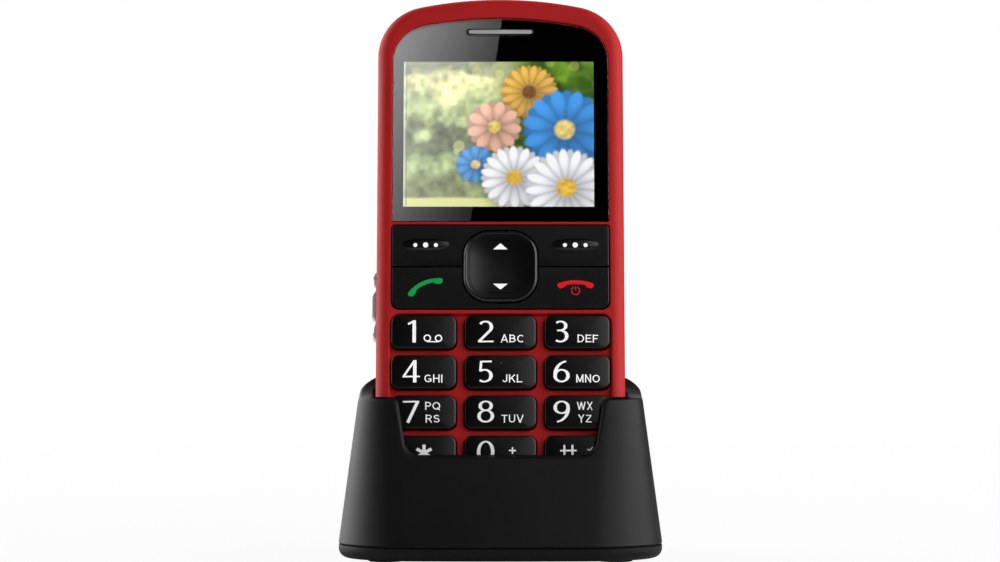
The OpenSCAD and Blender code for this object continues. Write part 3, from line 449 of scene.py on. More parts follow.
FLANGE = 0.6
CLEAR = 0.15
KEY_NAMES = [f"key_{k}" for k in (1, 2, 3, 4, 5, 6, 7, 8, 9, "star", 0, "hash")]
key_boxes = {}
for name in KEY_NAMES:
    lo, hi = phone_box(name)
    key_boxes[name] = (lo[0] + FLANGE, hi[0] - FLANGE, lo[1] + FLANGE, hi[1] - FLANGE)
panel_x0, panel_x1 = phone_box("call_key")[0][0] + FLANGE, phone_box("end_key")[1][0] - FLANGE
panel_y0, panel_y1 = phone_box("call_key")[0][1] + FLANGE, phone_box("left_soft_key")[1][1] - FLANGE
panel_mid = (panel_y0 + panel_y1) / 2
PANEL_LOW_R, PANEL_HIGH_R, KEY_R = 1.8, 0.6, 1.8

# The key field is a shallow tray, and the key openings go down from its floor
DEEP, TRAY, FACE_EDGE, TRAY_EDGE, KEY_HOLE_EDGE = 2.4, 1.1, 0.22, 0.45, 0.25
TRAY_SIDE, TRAY_END, TRAY_ROUND = 0.25, 0.42, 0.3
key_holes = [rounded_rect(x0 - CLEAR, x1 + CLEAR, y0 - CLEAR, y1 + CLEAR, KEY_R + CLEAR)
             for x0, x1, y0, y1 in key_boxes.values()]
all_x0, _, all_y0, _ = np.min(list(key_boxes.values()), 0)
_, all_x1, _, all_y1 = np.max(list(key_boxes.values()), 0)
tray = rounded_rect(all_x0 - TRAY_SIDE, all_x1 + TRAY_SIDE, all_y0 - TRAY_END, all_y1 + TRAY_END,
                    KEY_R + TRAY_ROUND)
mask_back = phone_box("window_mask")[0][2]
face_openings = [
    (window_outline, thick - mask_back, FACE_EDGE),
    (rounded_rect(panel_x0 - CLEAR, panel_x1 + CLEAR, panel_y0 - CLEAR, panel_y1 + CLEAR,
                  PANEL_LOW_R + CLEAR, PANEL_HIGH_R + CLEAR), DEEP, FACE_EDGE),
    (tray, TRAY, TRAY_EDGE)]
print("key tray", TRAY, "mm deep with", len(key_holes), "key openings")

# %% [markdown]
# The edge of the housing is one profile carried round the phone's outline: a fine lip at the joint with the
# rear housing, the wall and the round edge. Three stretches of the wall are left out of it, because they
# have openings of their own and are filled in afterwards.

# %% Front housing, edge and face
EDGE_H, EDGE_W, LIP, LIP_DEPTH = 3.6, 2.88, 0.15, 0.4
TORCH_SPAN, WALL_ROW, LEDGE = 3.6, 2, 0.7
front = Skin()
edge = round_out(EDGE_H, split_z + LIP, thick, steps=10, wide=EDGE_W)
edge = np.concatenate([[[-LIP_DEPTH, split_z], [-LIP, split_z]], edge])
corner_n = CORNER_STEPS + 1
left_wall = 3 * corner_n + 2 * CORNER_STEPS - 2
bottom_wall = len(body_outline) - 1
crown_at = np.abs(body_outline[:, 0])
top_walls = [i for i in range(2 * corner_n - 1, 2 * corner_n + 2 * CORNER_STEPS - 1)
             if max(crown_at[i], crown_at[i + 1]) < TORCH_SPAN]
skipped = ([WALL_ROW] * (2 + len(top_walls)), [left_wall, bottom_wall, *top_walls])
front.grid(sweep(body_outline, edge), skip=skipped)


def open_face(outer, openings, top):
    """A flat at one height with rounded openings, each given as outline, depth and edge radius."""
    holes = []
    for outline, depth, r in openings:
        rim = round_in(r, depth)
        front.grid(sweep(outline, rim + [0, top]))
        holes.append(grown(outline, rim[0, 0]))
    front.flat(outer, holes, height=top)


open_face(grown(body_outline, edge[-1, 0]), face_openings, thick)
open_face(tray, [(hole, DEEP - TRAY, KEY_HOLE_EDGE) for hole in key_holes], thick - TRAY)
front.flat(window_outline, [grown(window_outline, -LEDGE)], height=mask_back)
print("front housing with", len(key_holes) + 2, "openings in its face")

# %% [markdown]
# The straight parts of the walls are flats with openings: the rocker's slot on the left, the socket, the
# charging contacts and the microphone at the bottom, and the torch lens at the top. Each is drawn flat and
# then placed, and the strip at the top is bent along the crown as it is placed.

# %% Front housing, walls
WALL, WALL_ROUND = 1.6, 0.12


def wall_patch(skin, outer, openings, place, depth=WALL):
    """A flat piece of wall with openings, each with a small round edge. place takes the patch's own
    x, y and outward height to the phone's axes."""
    rim = round_in(WALL_ROUND, depth)
    holes = [grown(o, rim[0, 0]) for o in openings]
    skin.flat(outer, holes, place=place)
    for o in openings:
        skin.grid(sweep(o, rim), place=place)


def wall_outline(u0, u1, v0, v1):
    """The four corners of a patch, as an outline."""
    return np.array([[u0, v0, 0, 0], [u1, v0, 0, 0], [u1, v1, 0, 0], [u0, v1, 0, 0]], float)


wall_low, wall_high = split_z + LIP, thick - EDGE_H
left_y = body_outline[left_wall + 1, 1], body_outline[left_wall, 1]
ROCKER_SWING, SLOT_R = 0.28, 0.3
rocker_lo, rocker_hi = phone_box("volume_rocker")
slot = rounded_rect(rocker_lo[2] - CLEAR, rocker_hi[2] + CLEAR, rocker_lo[1] - ROCKER_SWING,
                    rocker_hi[1] + ROCKER_SWING, SLOT_R)
wall_patch(front, wall_outline(wall_low, wall_high, *left_y), [slot],
           lambda p: np.column_stack([-half_w - p[:, 2], p[:, 1], p[:, 0]]))
low_x = body_outline[-1, 0], body_outline[0, 0]
SOCKET_GAP, SOCKET_R, PAD_GAP, MIC_R = 0.2, 0.6, 0.1, 0.45
usb_lo, usb_hi = phone_box("usb_socket")
pad_lo, pad_hi = phone_box("charge_pads")
pad_z, pad_r = centre(pad_lo, pad_hi)[2], (pad_hi[2] - pad_lo[2]) / 2
mic_x, _, mic_z = centre(*phone_box("microphone"))
low_openings = [rounded_rect(usb_lo[0] - SOCKET_GAP, usb_hi[0] + SOCKET_GAP, usb_lo[2] - SOCKET_GAP,
                             usb_hi[2] + SOCKET_GAP, SOCKET_R),
                circle(pad_hi[0] - pad_r, pad_z, pad_r + PAD_GAP),
                circle(pad_lo[0] + pad_r, pad_z, pad_r + PAD_GAP),
                circle(mic_x, mic_z, MIC_R, 16)]
wall_patch(front, wall_outline(*low_x, wall_low, wall_high), low_openings,
           lambda p: np.column_stack([p[:, 0], -p[:, 2], p[:, 1]]))
crown_xs = body_outline[top_walls[0]:top_walls[-1] + 2, 0]
TORCH_R = 1.85
torch_z = centre(*phone_box("torch_lens"))[2]
strip = np.concatenate([np.column_stack([np.full(len(crown_xs), z), xs]) for z, xs in
                        ((wall_low, crown_xs), (wall_high, crown_xs[::-1]))])
strip = np.column_stack([strip, np.zeros_like(strip)])[::-1]


def crown_place(p):
    """A strip across the crown to the phone's axes: y follows the crown's circle over x."""
    crown_y = tall - CROWN_R + np.sqrt(CROWN_R ** 2 - p[:, 1] ** 2)
    return np.column_stack([p[:, 1], crown_y + p[:, 2], p[:, 0]])


wall_patch(front, strip, [circle(torch_z, 0.0, TORCH_R)], crown_place)
piece("front housing", front, red, "phone", ["front_housing"])
print("front housing of", len(front.faces), "faces")

# %% [markdown]
# The rear housing is drawn the same way from its back. Behind the battery cover it has a ledge and the
# battery compartment, and beside it the openings for the call button, the camera, the loudspeaker and
# four screws.

# %% Openings of the rear housing
REAR_DEPTH, COVER_R = 1.5, 4.0
cover_lo, cover_hi = phone_box("battery_cover")
recess = rounded_rect(cover_lo[0] - CLEAR, cover_hi[0] + CLEAR, cover_lo[1] - CLEAR, cover_hi[1] + CLEAR,
                      COVER_R + CLEAR)
SOS_R, SOS_GAP = 4.5, 0.1
sos_lo, sos_hi = phone_box("sos_button")
sos_y = centre(sos_lo, sos_hi)[1]
CAMERA_GAP, CAMERA_SEAT, CAMERA_LEDGE = 0.05, 0.9, 0.7
camera_lo, camera_hi = phone_box("camera_window")
camera_y, camera_r = centre(camera_lo, camera_hi)[1], (camera_hi[0] - camera_lo[0]) / 2
camera_seat = circle(0, camera_y, camera_r + CAMERA_GAP, 48)
SLIT_L, SLIT_W, SLIT_STEP, SLIT_R = 9.0, 0.9, 2.0, 0.44
speaker_x, speaker_y, _ = centre(*phone_box("loudspeaker"))
slits = [rounded_rect(speaker_x - SLIT_L / 2, speaker_x + SLIT_L / 2, speaker_y + s - SLIT_W / 2,
                      speaker_y + s + SLIT_W / 2, SLIT_R) for s in (-SLIT_STEP, 0, SLIT_STEP)]
SCREW_R, SCREW_GAP, SCREW_HEAD = 1.4, 0.15, 1.1
screw_lo, screw_hi = phone_box("phone_screws")
screw_floor = screw_lo[2] + SCREW_HEAD
screw_holes = [circle(x, y, SCREW_R + SCREW_GAP, 24) for x in (screw_lo[0] + SCREW_R, screw_hi[0] - SCREW_R)
               for y in (screw_lo[1] + SCREW_R, screw_hi[1] - SCREW_R)]
openings = [(recess, REAR_DEPTH), (circle(0, sos_y, SOS_R + SOS_GAP, 48), REAR_DEPTH)]
openings += [(camera_seat, CAMERA_SEAT)] + [(slit, REAR_DEPTH) for slit in slits]
openings += [(hole, screw_floor) for hole in screw_holes]
print("rear housing with", len(openings), "openings in its back")

# %% [markdown]
# The back face is triangulated between the housing's edge and these openings, and each opening gets its
# wall. The recess of the cover has a floor, and the battery lies in a tub that goes down from it.

# %% Rear housing
REAR_EDGE, REAR_PAD, BACK_ROUND = 3.5, 0.05, 0.14
TUB_GAP, TUB_R = 0.3, 1.6
rear = Skin()
rear_edge = np.concatenate([round_under(REAR_EDGE, 0.0, REAR_PAD, 10),
                            [[0, split_z - LIP], [-LIP, split_z], [-LIP_DEPTH, split_z]]])
rear.grid(sweep(body_outline, rear_edge))
for outline, depth in openings:
    rear.grid(sweep(outline, turned_over(round_in(BACK_ROUND, depth))))
rim_w = round_in(BACK_ROUND, REAR_DEPTH)[0, 0]
rear.flat(grown(body_outline, rear_edge[0, 0]), [grown(o, rim_w) for o, _ in openings], up=False)
for hole in screw_holes:
    rear.flat(hole, height=screw_floor, up=False)
battery_lo, battery_hi = phone_box("battery_pack")
contacts_lo, contacts_hi = phone_box("battery_contacts")
tub = rounded_rect(battery_lo[0] - TUB_GAP, battery_hi[0] + TUB_GAP, contacts_lo[1], battery_hi[1] + TUB_GAP,
                   TUB_R)
tub_floor = contacts_hi[2]
rear.flat(recess, [tub], height=REAR_DEPTH, up=False)
rear.grid(sweep(tub, [[0, tub_floor], [0, REAR_DEPTH]]))
rear.flat(tub, height=tub_floor, up=False)
rear.flat(camera_seat, [circle(0, camera_y, camera_r - CAMERA_LEDGE, 48)], height=CAMERA_SEAT, up=False)
piece("rear housing", rear, red, "phone", ["rear_housing"])
print("rear housing of", len(rear.faces), "faces")

# %% [markdown]
# The battery cover has a thumb hollow, the cap of a large sphere, and the call button has the same
# hollow for a finger. A hollow is its own profile turned round its middle, as a Screw modifier would do.

# %% Battery cover and call button
DISH_R, DISH_DEPTH, THUMB_DOWN = 40.0, 0.6, 9.0
COVER_EDGE, BUTTON_EDGE, BACK_GAP = 0.45, 0.5, 0.1
dish_rim = math.sqrt(2 * DISH_R * DISH_DEPTH - DISH_DEPTH ** 2)
thumb_y = cover_hi[1] - THUMB_DOWN


def dish(cx, cy, rim_r, base, steps=8, turns=48):
    """Cap of a sphere, seen from behind: the height falls from the middle to the rim as the sphere does."""
    r = np.linspace(1e-4, rim_r, steps + 1)
    z = base + np.sqrt(DISH_R ** 2 - r ** 2) - math.sqrt(DISH_R ** 2 - rim_r ** 2)
    return sweep(circle(cx, cy, 0.0, turns), np.stack([r, z], 1))


cover = Skin()
cover_outline = rounded_rect(cover_lo[0], cover_hi[0], cover_lo[1], cover_hi[1], COVER_R)
cover_t = cover_hi[2]
cover_edge = turned_over(round_out(COVER_EDGE, 0.0, cover_t), cover_t)
cover.grid(sweep(cover_outline, cover_edge))
thumb = circle(0, thumb_y, dish_rim, 48)
cover.flat(grown(cover_outline, cover_edge[0, 0]), [thumb], up=False)
cover.grid(dish(0, thumb_y, dish_rim, 0.0))
cover.flat(cover_outline, height=cover_t)
piece("battery cover", cover, red, "battery_cover", ["battery_cover"])

sos = Skin()
sos_face = sos_lo[2]
sos_edge = turned_over(round_out(BUTTON_EDGE, 0.0, REAR_DEPTH), REAR_DEPTH + sos_face)
sos.grid(sweep(circle(0, sos_y, SOS_R, 48), sos_edge))
sos.grid(dish(0, sos_y, SOS_R + sos_edge[0, 0], sos_face))
sos_flange = circle(0, sos_y, (sos_hi[0] - sos_lo[0]) / 2, 48)
sos.flat(sos_flange, height=sos_hi[2])
sos.flat(sos_flange, height=REAR_DEPTH + BACK_GAP, up=False)
piece("call button", sos, silver, "sos_button", ["sos_button"])
print("thumb hollow radius", round(dish_rim, 2), "mm")

# %% [markdown]
# The camera looks out of the back through a clear disc. A black ring is printed behind the disc and hides
# the ledge that it is glued to. Inside the ring a stepped barrel leads down to a small bulging lens, and
# the steps keep stray light off it. Barrel and lens are profiles turned round the camera's axis.

# %% Camera on the back
GLUE, DISC_EDGE, RING_GAP, RING_IN, RING_FACES = 0.06, 0.2, 0.1, 1.75, (0.015, 0.035)
eye_lo, eye_hi = phone_box("camera_module")
axis = circle(0, camera_y, 0.0, 48)
disc_outline = circle(0, camera_y, camera_r, 48)
disc_back = camera_hi[2] - GLUE
disc = Skin()
disc_edge = turned_over(round_out(DISC_EDGE, 0.0, disc_back - camera_lo[2]), disc_back)
disc.grid(sweep(disc_outline, disc_edge))
disc.flat(grown(disc_outline, disc_edge[0, 0]), height=camera_lo[2], up=False)
disc.flat(disc_outline, height=disc_back)
piece("camera window", disc, lens_clear, "phone", ["camera_window"])

ring = Skin()
ring_out, ring_in = circle(0, camera_y, camera_r - RING_GAP, 48), circle(0, camera_y, RING_IN, 48)
ring_z = disc_back + np.array(RING_FACES)
ring.flat(ring_out, [ring_in], height=ring_z[0], up=False)
ring.flat(ring_out, [ring_in], height=ring_z[1])
ring.grid(sweep(ring_out, [[0, ring_z[0]], [0, ring_z[1]]]))
ring.grid(sweep(ring_in, [[0, ring_z[1]], [0, ring_z[0]]]))
piece("camera ring", ring, mask_black, "phone")
print("camera window of", round(2 * camera_r, 1), "mm")

# %% [markdown]
# The barrel's profile starts in the middle of its floor, climbs two conical steps to the rim and goes down
# its outside to the block that it is moulded on. The lens is a cap of a small sphere.

# %% Camera barrel and lens
BARREL_GAP, BARREL_DEPTH, BARREL_EDGE = 0.9, 1.0, 0.08
LENS_R, LENS_CURVE, LENS_GAP, BLOCK_R = 1.15, 1.5, 0.02, 0.4
barrel_r, barrel_top, lens_seat = camera_r - BARREL_GAP, eye_lo[2], eye_lo[2] + BARREL_DEPTH
step_z, block_z = lens_seat - BARREL_DEPTH / 2, REAR_DEPTH + BACK_GAP
barrel = Skin()
barrel.grid(sweep(axis, [[0.01, lens_seat], [LENS_R + 0.05, lens_seat], [1.5, step_z], [1.62, step_z],
                         [1.95, barrel_top + 0.02], [2.0, barrel_top], [barrel_r - BARREL_EDGE, barrel_top],
                         [barrel_r, barrel_top + BARREL_EDGE], [barrel_r, block_z]]))
block = rounded_rect(eye_lo[0], eye_hi[0], eye_lo[1], eye_hi[1], BLOCK_R)
barrel.flat(block, [circle(0, camera_y, barrel_r, 48)], height=block_z, up=False)
barrel.grid(sweep(block, [[0, block_z], [0, eye_hi[2]]]))
barrel.flat(block, height=eye_hi[2])
barrel_black = finish("camera barrel", (0.007, 0.007, 0.007), 0.45)
piece("camera barrel", barrel, barrel_black, "phone", ["camera_module"])

lens_r = np.linspace(1e-4, LENS_R, 9)
bulge = np.sqrt(LENS_CURVE ** 2 - lens_r ** 2) - math.sqrt(LENS_CURVE ** 2 - LENS_R ** 2)
lens = Skin()
lens.grid(sweep(axis, np.stack([lens_r, lens_seat - LENS_GAP - bulge], 1)))
lens.flat(circle(0, camera_y, LENS_R, 48), height=lens_seat - LENS_GAP)
lens_coat = finish("coated lens", (0.003, 0.004, 0.014), 0.07, vary=0.3, Specular_IOR_Level=0.9)
piece("camera lens", lens, lens_coat, "phone")
print("lens of", 2 * LENS_R, "mm")

# %% [markdown]
# The window is a clear plate, printed black behind except over the picture and the earpiece. The print is
# a thin piece of its own, so that the plate shows its depth at the edges of the picture.

# %% Window and its print
BORDER, PICTURE_WIDER, PICTURE_UP, PRINT_GAP = 1.9, 0.83, 0.43, 0.02
PANE_EDGE, EAR_EDGE, EAR_GAP, MASK_GAP = 0.12, 0.05, 0.05, 0.3
mask_lo, mask_hi = phone_box("window_mask")
display_lo, display_hi = phone_box("display_panel")
grille_lo, grille_hi = phone_box("earpiece_grille")
picture = (display_lo[0] + BORDER - PICTURE_WIDER, display_hi[0] - BORDER,
           display_lo[1] + BORDER + PICTURE_UP, display_hi[1] - BORDER + PICTURE_UP)
ear_y = centre(grille_lo, grille_hi)[1]
ear_half_w, ear_half_h, _ = (grille_hi - grille_lo) / 2 + EAR_GAP
ear_slot = rounded_rect(-ear_half_w, ear_half_w, ear_y - ear_half_h, ear_y + ear_half_h, ear_half_h - 0.01)

window = Skin()
pane = grown(window_outline, -WINDOW_GAP)
pane_edge = round_out(PANE_EDGE, window_lo[2], window_top)
window.grid(sweep(pane, pane_edge))
ear_rim = round_in(EAR_EDGE, window_top - window_lo[2])
window.grid(sweep(ear_slot, ear_rim + [0, window_top]))
window.flat(grown(pane, pane_edge[-1, 0]), [grown(ear_slot, ear_rim[0, 0])], height=window_top)
window.flat(pane, [ear_slot], height=window_lo[2], up=False)
piece("display window", window, window_clear, "phone", ["display_window"])

mask = Skin()
mask_outline = grown(window_outline, -MASK_GAP)
mask_low, mask_top = mask_lo[2], mask_hi[2] - PRINT_GAP
frame_open = rounded_rect(picture[0] - MASK_GAP, picture[1] + MASK_GAP, picture[2] - MASK_GAP,
                          picture[3] + MASK_GAP, 0.1, steps=2)
mask.flat(mask_outline, [frame_open, ear_slot], height=mask_top)
mask.flat(mask_outline, [frame_open, ear_slot], height=mask_low, up=False)
mask.grid(sweep(mask_outline, [[0, mask_low], [0, mask_top]]))
mask.grid(sweep(frame_open, [[0, mask_top], [0, mask_low]]))
piece("window mask", mask, mask_black, "phone", ["window_mask"])
print("picture", round(picture[1] - picture[0], 1), "x", round(picture[3] - picture[2], 1), "mm")

# %% [markdown]
# The picture is drawn as colours on a grid as fine as the display's own dots: a soft garden with
# out-of-focus lights and a few flowers in front. Each colour is worked out from the dot's place alone, in
# layers of paint, and stored on the mesh. An image would do it too, but then the model would need a file.

# %% Painting a picture
def smooth(a, b, t):
    """Rises from 0 at a to 1 at b without corners: three times the square of the way less twice its cube."""
    s = np.clip((t - a) / (b - a), 0, 1)
    return s * s * (3 - 2 * s)


def over(picture_rgb, colour, cover_share):
    """One layer of paint: each colour moves towards the layer's by the share that is covered."""
    return picture_rgb + (np.asarray(colour) - picture_rgb) * cover_share[..., None]


def mottle(x, y, size, seed):
    """Soft blotches of about that size: random heights on a coarse lattice, blended with smooth steps."""
    lattice = np.random.default_rng(seed).uniform(size=(64, 64))
    x, y = x / size, y / size
    i, j = x.astype(int), y.astype(int)
    fx, fy = smooth(0, 1, x - i), smooth(0, 1, y - j)
    low = lattice[j, i] * (1 - fx) + lattice[j, i + 1] * fx
    high = lattice[j + 1, i] * (1 - fx) + lattice[j + 1, i + 1] * fx
    return low * (1 - fy) + high * fy


def flower(rgb, x, y, cx, cy, size, petals, colour, heart, turn):
    """A flower seen from the front: a soft shadow and two rings of petals, whose outline follows the root of
    a cosine round the heart. The ring behind is darker, each petal is darker at its root and its sides, and
    the light comes from the upper left."""
    dx, dy = (x - cx) / size, (y - cy) / size
    r, angle = np.hypot(dx, dy), np.arctan2(dy, dx)
    shadow = 1 - smooth(0.7, 1.3, np.hypot(dx - 0.12, dy + 0.16))
    rgb = rgb * (1 - 0.6 * shadow[..., None])
    for shift, tone in ((np.pi / 2, 0.6), (0.0, 1.0)):
        lobe = np.abs(np.cos(petals / 2 * (angle + turn) + shift))
        edge_r = 0.42 + 0.58 * np.sqrt(lobe)
        root, sides = 0.5 + 0.5 * smooth(0.1, 0.75, r), 0.72 + 0.28 * lobe
        shade = tone * root * sides * (1 + 0.16 * np.cos(angle - 2.2))
        cover_share = 1 - smooth(edge_r - 0.07, edge_r + 0.03, r)
        rgb = over(rgb, np.asarray(colour) * shade[..., None], cover_share)
    seeds = 0.7 + 0.5 * mottle(x, y, 0.022, 8) - 0.9 * r
    return over(rgb, np.asarray(heart) * seeds[..., None], 1 - smooth(0.2, 0.28, r))


print("three brushes: layers, blotches and flowers")

# %% [markdown]
# The garden is painted from back to front: dark leaves, the pale trees on the left, a round crown, a hedge,
# a strip of lawn, the soft lights and the flowers. Last comes a pale line with a dark one beside it along the
# left edge, a painted reflection of the display's edge in the window.

# %% Garden on the display
ASPECT, LIGHTS = 1.24, 46
# Place from the lower left, size, number of petals, colour, colour of the heart, and turn
FLOWERS = ((0.82, 0.79, 0.19, 15, (0.86, 0.50, 0.10), (0.25, 0.10, 0.03), 0.3),
           (1.05, 0.53, 0.28, 11, (0.06, 0.32, 0.80), (0.95, 0.75, 0.25), 0.5),
           (0.59, 0.55, 0.18, 9, (0.95, 0.55, 0.40), (0.95, 0.70, 0.20), 0.1),
           (0.47, 0.29, 0.13, 10, (0.10, 0.36, 0.78), (0.95, 0.75, 0.30), 0.9),
           (0.72, 0.20, 0.22, 14, (0.95, 0.96, 1.0), (0.95, 0.60, 0.08), 0.2),
           (1.06, 0.13, 0.27, 16, (0.93, 0.95, 1.0), (0.95, 0.60, 0.08), 0.7))


def garden(u, v):
    """The picture over u and v, which run from 0 to 1: each layer covers the last by a smooth share."""
    x = u * ASPECT
    leaves = 0.5 * mottle(x, v, 0.15, 1) + 0.3 * mottle(x, v, 0.07, 2) + 0.2 * mottle(x, v, 0.04, 3)
    wave = 0.3 * (leaves - 0.5)
    left = smooth(0.66, 0.36, u + 0.5 * wave)
    rgb = np.array([0.03, 0.10, 0.005]) + smooth(0.35, 0.72, leaves)[..., None] * [0.19, 0.32, 0.02]
    rgb = over(rgb, (0.19, 0.23, 0.13), left)
    rgb = over(rgb, (0.60, 0.72, 0.33), left * smooth(0.45, 0.58, v + 1.3 * wave))
    rgb = over(rgb, (0.90, 0.90, 0.45), left * smooth(0.64, 0.80, v + 1.2 * wave))
    crown = np.hypot((u - 0.24) / 0.42, (v - 0.55) / 0.38) + 0.8 * wave
    rgb = over(rgb, (0.30, 0.33, 0.21), left * smooth(0.96, 1.08, crown) * smooth(0.6, 0.8, v))
    rgb = over(rgb, (0.48, 0.61, 0.29), left * smooth(0.365, 0.32, v + 0.3 * wave))
    rgb = over(rgb, (0.26, 0.30, 0.15), left * smooth(0.26, 0.14, v + 0.6 * wave))
    dapple = 0.9 * leaves + 0.6 * mottle(x, v, 0.055, 6) + 0.5 * mottle(x, v, 0.03, 7) - 1.0
    rgb *= 1 + (left * dapple)[..., None]
    rgb = over(rgb, (0.80, 0.80, 0.36), smooth(0.07, 0.05, v + 0.04 * wave) * smooth(0.75, 0.45, u))
    for cx, cy, size, light, hue in np.random.default_rng(4).uniform(size=(LIGHTS, 5)):
        spot = 1 - smooth(0.7, 1.0, np.hypot(x - ASPECT * cx, v - cy) / (0.012 + 0.035 * size))
        cover_share = spot * (0.1 + 0.4 * light) * smooth(0.2, 0.4, cy)
        rgb = over(rgb, (0.45 + 0.5 * hue, 0.85, 0.12 + 0.3 * light), cover_share)
    for blossom in FLOWERS:
        rgb = flower(rgb, x, v, *blossom)
    # A pale strip and a thin dark line along the left edge: a painted reflection of the display's edge
    rgb = over(rgb, (0.80, 0.82, 0.70), 0.5 * (1 - smooth(0.010, 0.013, u)))
    rgb = over(rgb, (0.12, 0.14, 0.08), 0.6 * smooth(0.010, 0.013, u) * (1 - smooth(0.016, 0.019, u)))
    return np.clip(rgb, 0, 1)


DOTS_X, DOTS_Y, GLASS_EDGE, GLASS_R = 260, 208, 0.05, 0.2
u, v = np.meshgrid(np.linspace(0, 1, DOTS_X + 1), np.linspace(0, 1, DOTS_Y + 1))
glass_top = display_hi[2]
spots = np.stack([picture[0] + u * (picture[1] - picture[0]), picture[2] + v * (picture[3] - picture[2]),
                  np.full_like(u, glass_top)], 2)
screen = Skin()
screen.grid(spots, closed=False)
screen_obj = piece("display picture", screen, glowing("lit picture", "picture", 0.01, 0.35), "phone")
layer = screen_obj.data.color_attributes.new("picture", "FLOAT_COLOR", "POINT")
rgba = np.concatenate([garden(u, v), np.ones(u.shape + (1,))], 2)
layer.data.foreach_set("color", rgba.astype(np.float32).ravel())

glass = Skin()
glass_outline = rounded_rect(display_lo[0], display_hi[0], display_lo[1], display_hi[1], GLASS_R, steps=2)
picture_outline = rounded_rect(*picture, 1e-3, steps=1)
glass.grid(sweep(glass_outline, [[0, display_lo[2]], [0, glass_top - GLASS_EDGE], [-GLASS_EDGE, glass_top]]))
glass.flat(grown(glass_outline, -GLASS_EDGE), [picture_outline], height=glass_top)
glass.flat(glass_outline, height=display_lo[2], up=False)
display_dark = finish("display border", (0.012, 0.012, 0.013), 0.2, vary=0.2)
piece("display glass", glass, display_dark, "phone", ["display_panel"])
print("picture of", DOTS_X, "x", DOTS_Y, "dots")

# %% [markdown]
# The earpiece is a strip of woven wire in a sunk frame. The frame is given the black print, as painted shade
# round the weave. Its weave is two crossing waves, worked out on a fine grid, so the strip catches the light
# as cloth does. A bump map would be cheaper, but looks flat from the side.

# %% Earpiece
EAR_FRAME_GAP, EAR_FRAME_EDGE, EAR_SUNK, WEAVE_SUNK = 0.06, 0.05, 0.12, 0.06
EAR_SHOULDER, WEAVE_BORDER, WEAVE_END, PITCH, WIRE_RISE = 0.16, 0.16, 0.3, 0.34, 0.05
WEAVE_COLS, WEAVE_ROWS = 260, 18
ear_top = grille_hi[2]
ear_frame = Skin()
ear_outline = grown(ear_slot, -EAR_FRAME_GAP)
ear_frame.grid(sweep(ear_outline, [[0, grille_lo[2]], [0, ear_top - EAR_SHOULDER],
                                   [-EAR_FRAME_EDGE, ear_top - EAR_SUNK]]))
ear_frame.flat(grown(ear_outline, -EAR_FRAME_EDGE), height=ear_top - EAR_SUNK)
# The frame's black print is painted shade round the sunk weave
piece("earpiece frame", ear_frame, mask_black, "phone")
grille = Skin()
s, t = np.meshgrid(np.linspace(-1, 1, WEAVE_COLS), np.linspace(-1, 1, WEAVE_ROWS))
half_h = ear_half_h - WEAVE_BORDER
weave_y = half_h * t
round_end = np.sqrt(np.clip(half_h ** 2 - weave_y ** 2, 0, None))
weave_x = s * (ear_half_w - ear_half_h - WEAVE_END + round_end)
wires = np.sin(2 * np.pi * weave_x / PITCH) * np.sin(2 * np.pi * weave_y / PITCH)
weave_z = ear_top - WEAVE_SUNK + WIRE_RISE * wires
grille.grid(np.stack([weave_x, ear_y + weave_y, weave_z], 2), closed=False)
ear_metal = finish("woven metal", (0.46, 0.46, 0.46), 0.42, metal=0.6)
piece("earpiece grille", grille, ear_metal, "phone", ["earpiece_grille"], sharp=60)
print("weave of", WEAVE_COLS, "x", WEAVE_ROWS, "points")

# %% [markdown]
# A number key is a crowned cap: its top is part of a large cylinder across the key, and its rim is
# rounded. Seen from above, each ring of points is the key's outline shrunk towards the middle, and the
# crown gives each point its height. A bevelled cube would have a flat top, and the sheen on the keys shows
# that theirs isn't. The 5 has a small nub, so that a finger finds the middle.

# %% Number keys
KEY_CROWN, KEY_EDGE, KEY_BELOW, FLANGE_H = 55.0, 0.38, 0.65, 0.6
RIM_RINGS, TOP_RINGS = 7, 9
NUB_R, NUB_H, NUB_X, NUB_Y, NUB_SUNK = 0.42, 0.2, -0.1, 1.95, 0.02
key_top = phone_box("key_5")[1][2]
key_low = thick - DEEP - KEY_BELOW


def crown_height(x, middle):
    """Height of the crown over x: a circle whose top is over the key's middle."""
    return key_top - KEY_CROWN + np.sqrt(KEY_CROWN ** 2 - (x - middle) ** 2)


def crowned_cap(x0, x1, y0, y1):
    """Rings of a key's cap: its foot, the rim rounded by a quarter circle, and the rim shrunk in even steps
    to the middle, all at the crown's height."""
    outline = rounded_rect(x0, x1, y0, y1, KEY_R, steps=8)
    cx, cy = (x0 + x1) / 2, (y0 + y1) / 2
    a = np.radians(np.linspace(0, 90, RIM_RINGS))
    rim_xy = outline[None, :, :2] - (KEY_EDGE - KEY_EDGE * np.cos(a))[:, None, None] * outline[None, :, 2:]
    rim_drop = (KEY_EDGE * np.sin(a) - KEY_EDGE)[:, None]
    shrink = np.linspace(0.97, 0.0, TOP_RINGS)[:, None, None]
    top_xy = [cx, cy] + shrink * (rim_xy[-1:] - [cx, cy])
    xy = np.concatenate([rim_xy, top_xy])
    z = crown_height(xy[..., 0], cx)
    z[:RIM_RINGS] += rim_drop
    low = np.concatenate([outline[None, :, :2], np.full((1, len(outline), 1), key_low)], 2)
    return np.concatenate([low, np.concatenate([xy, z[..., None]], 2)])


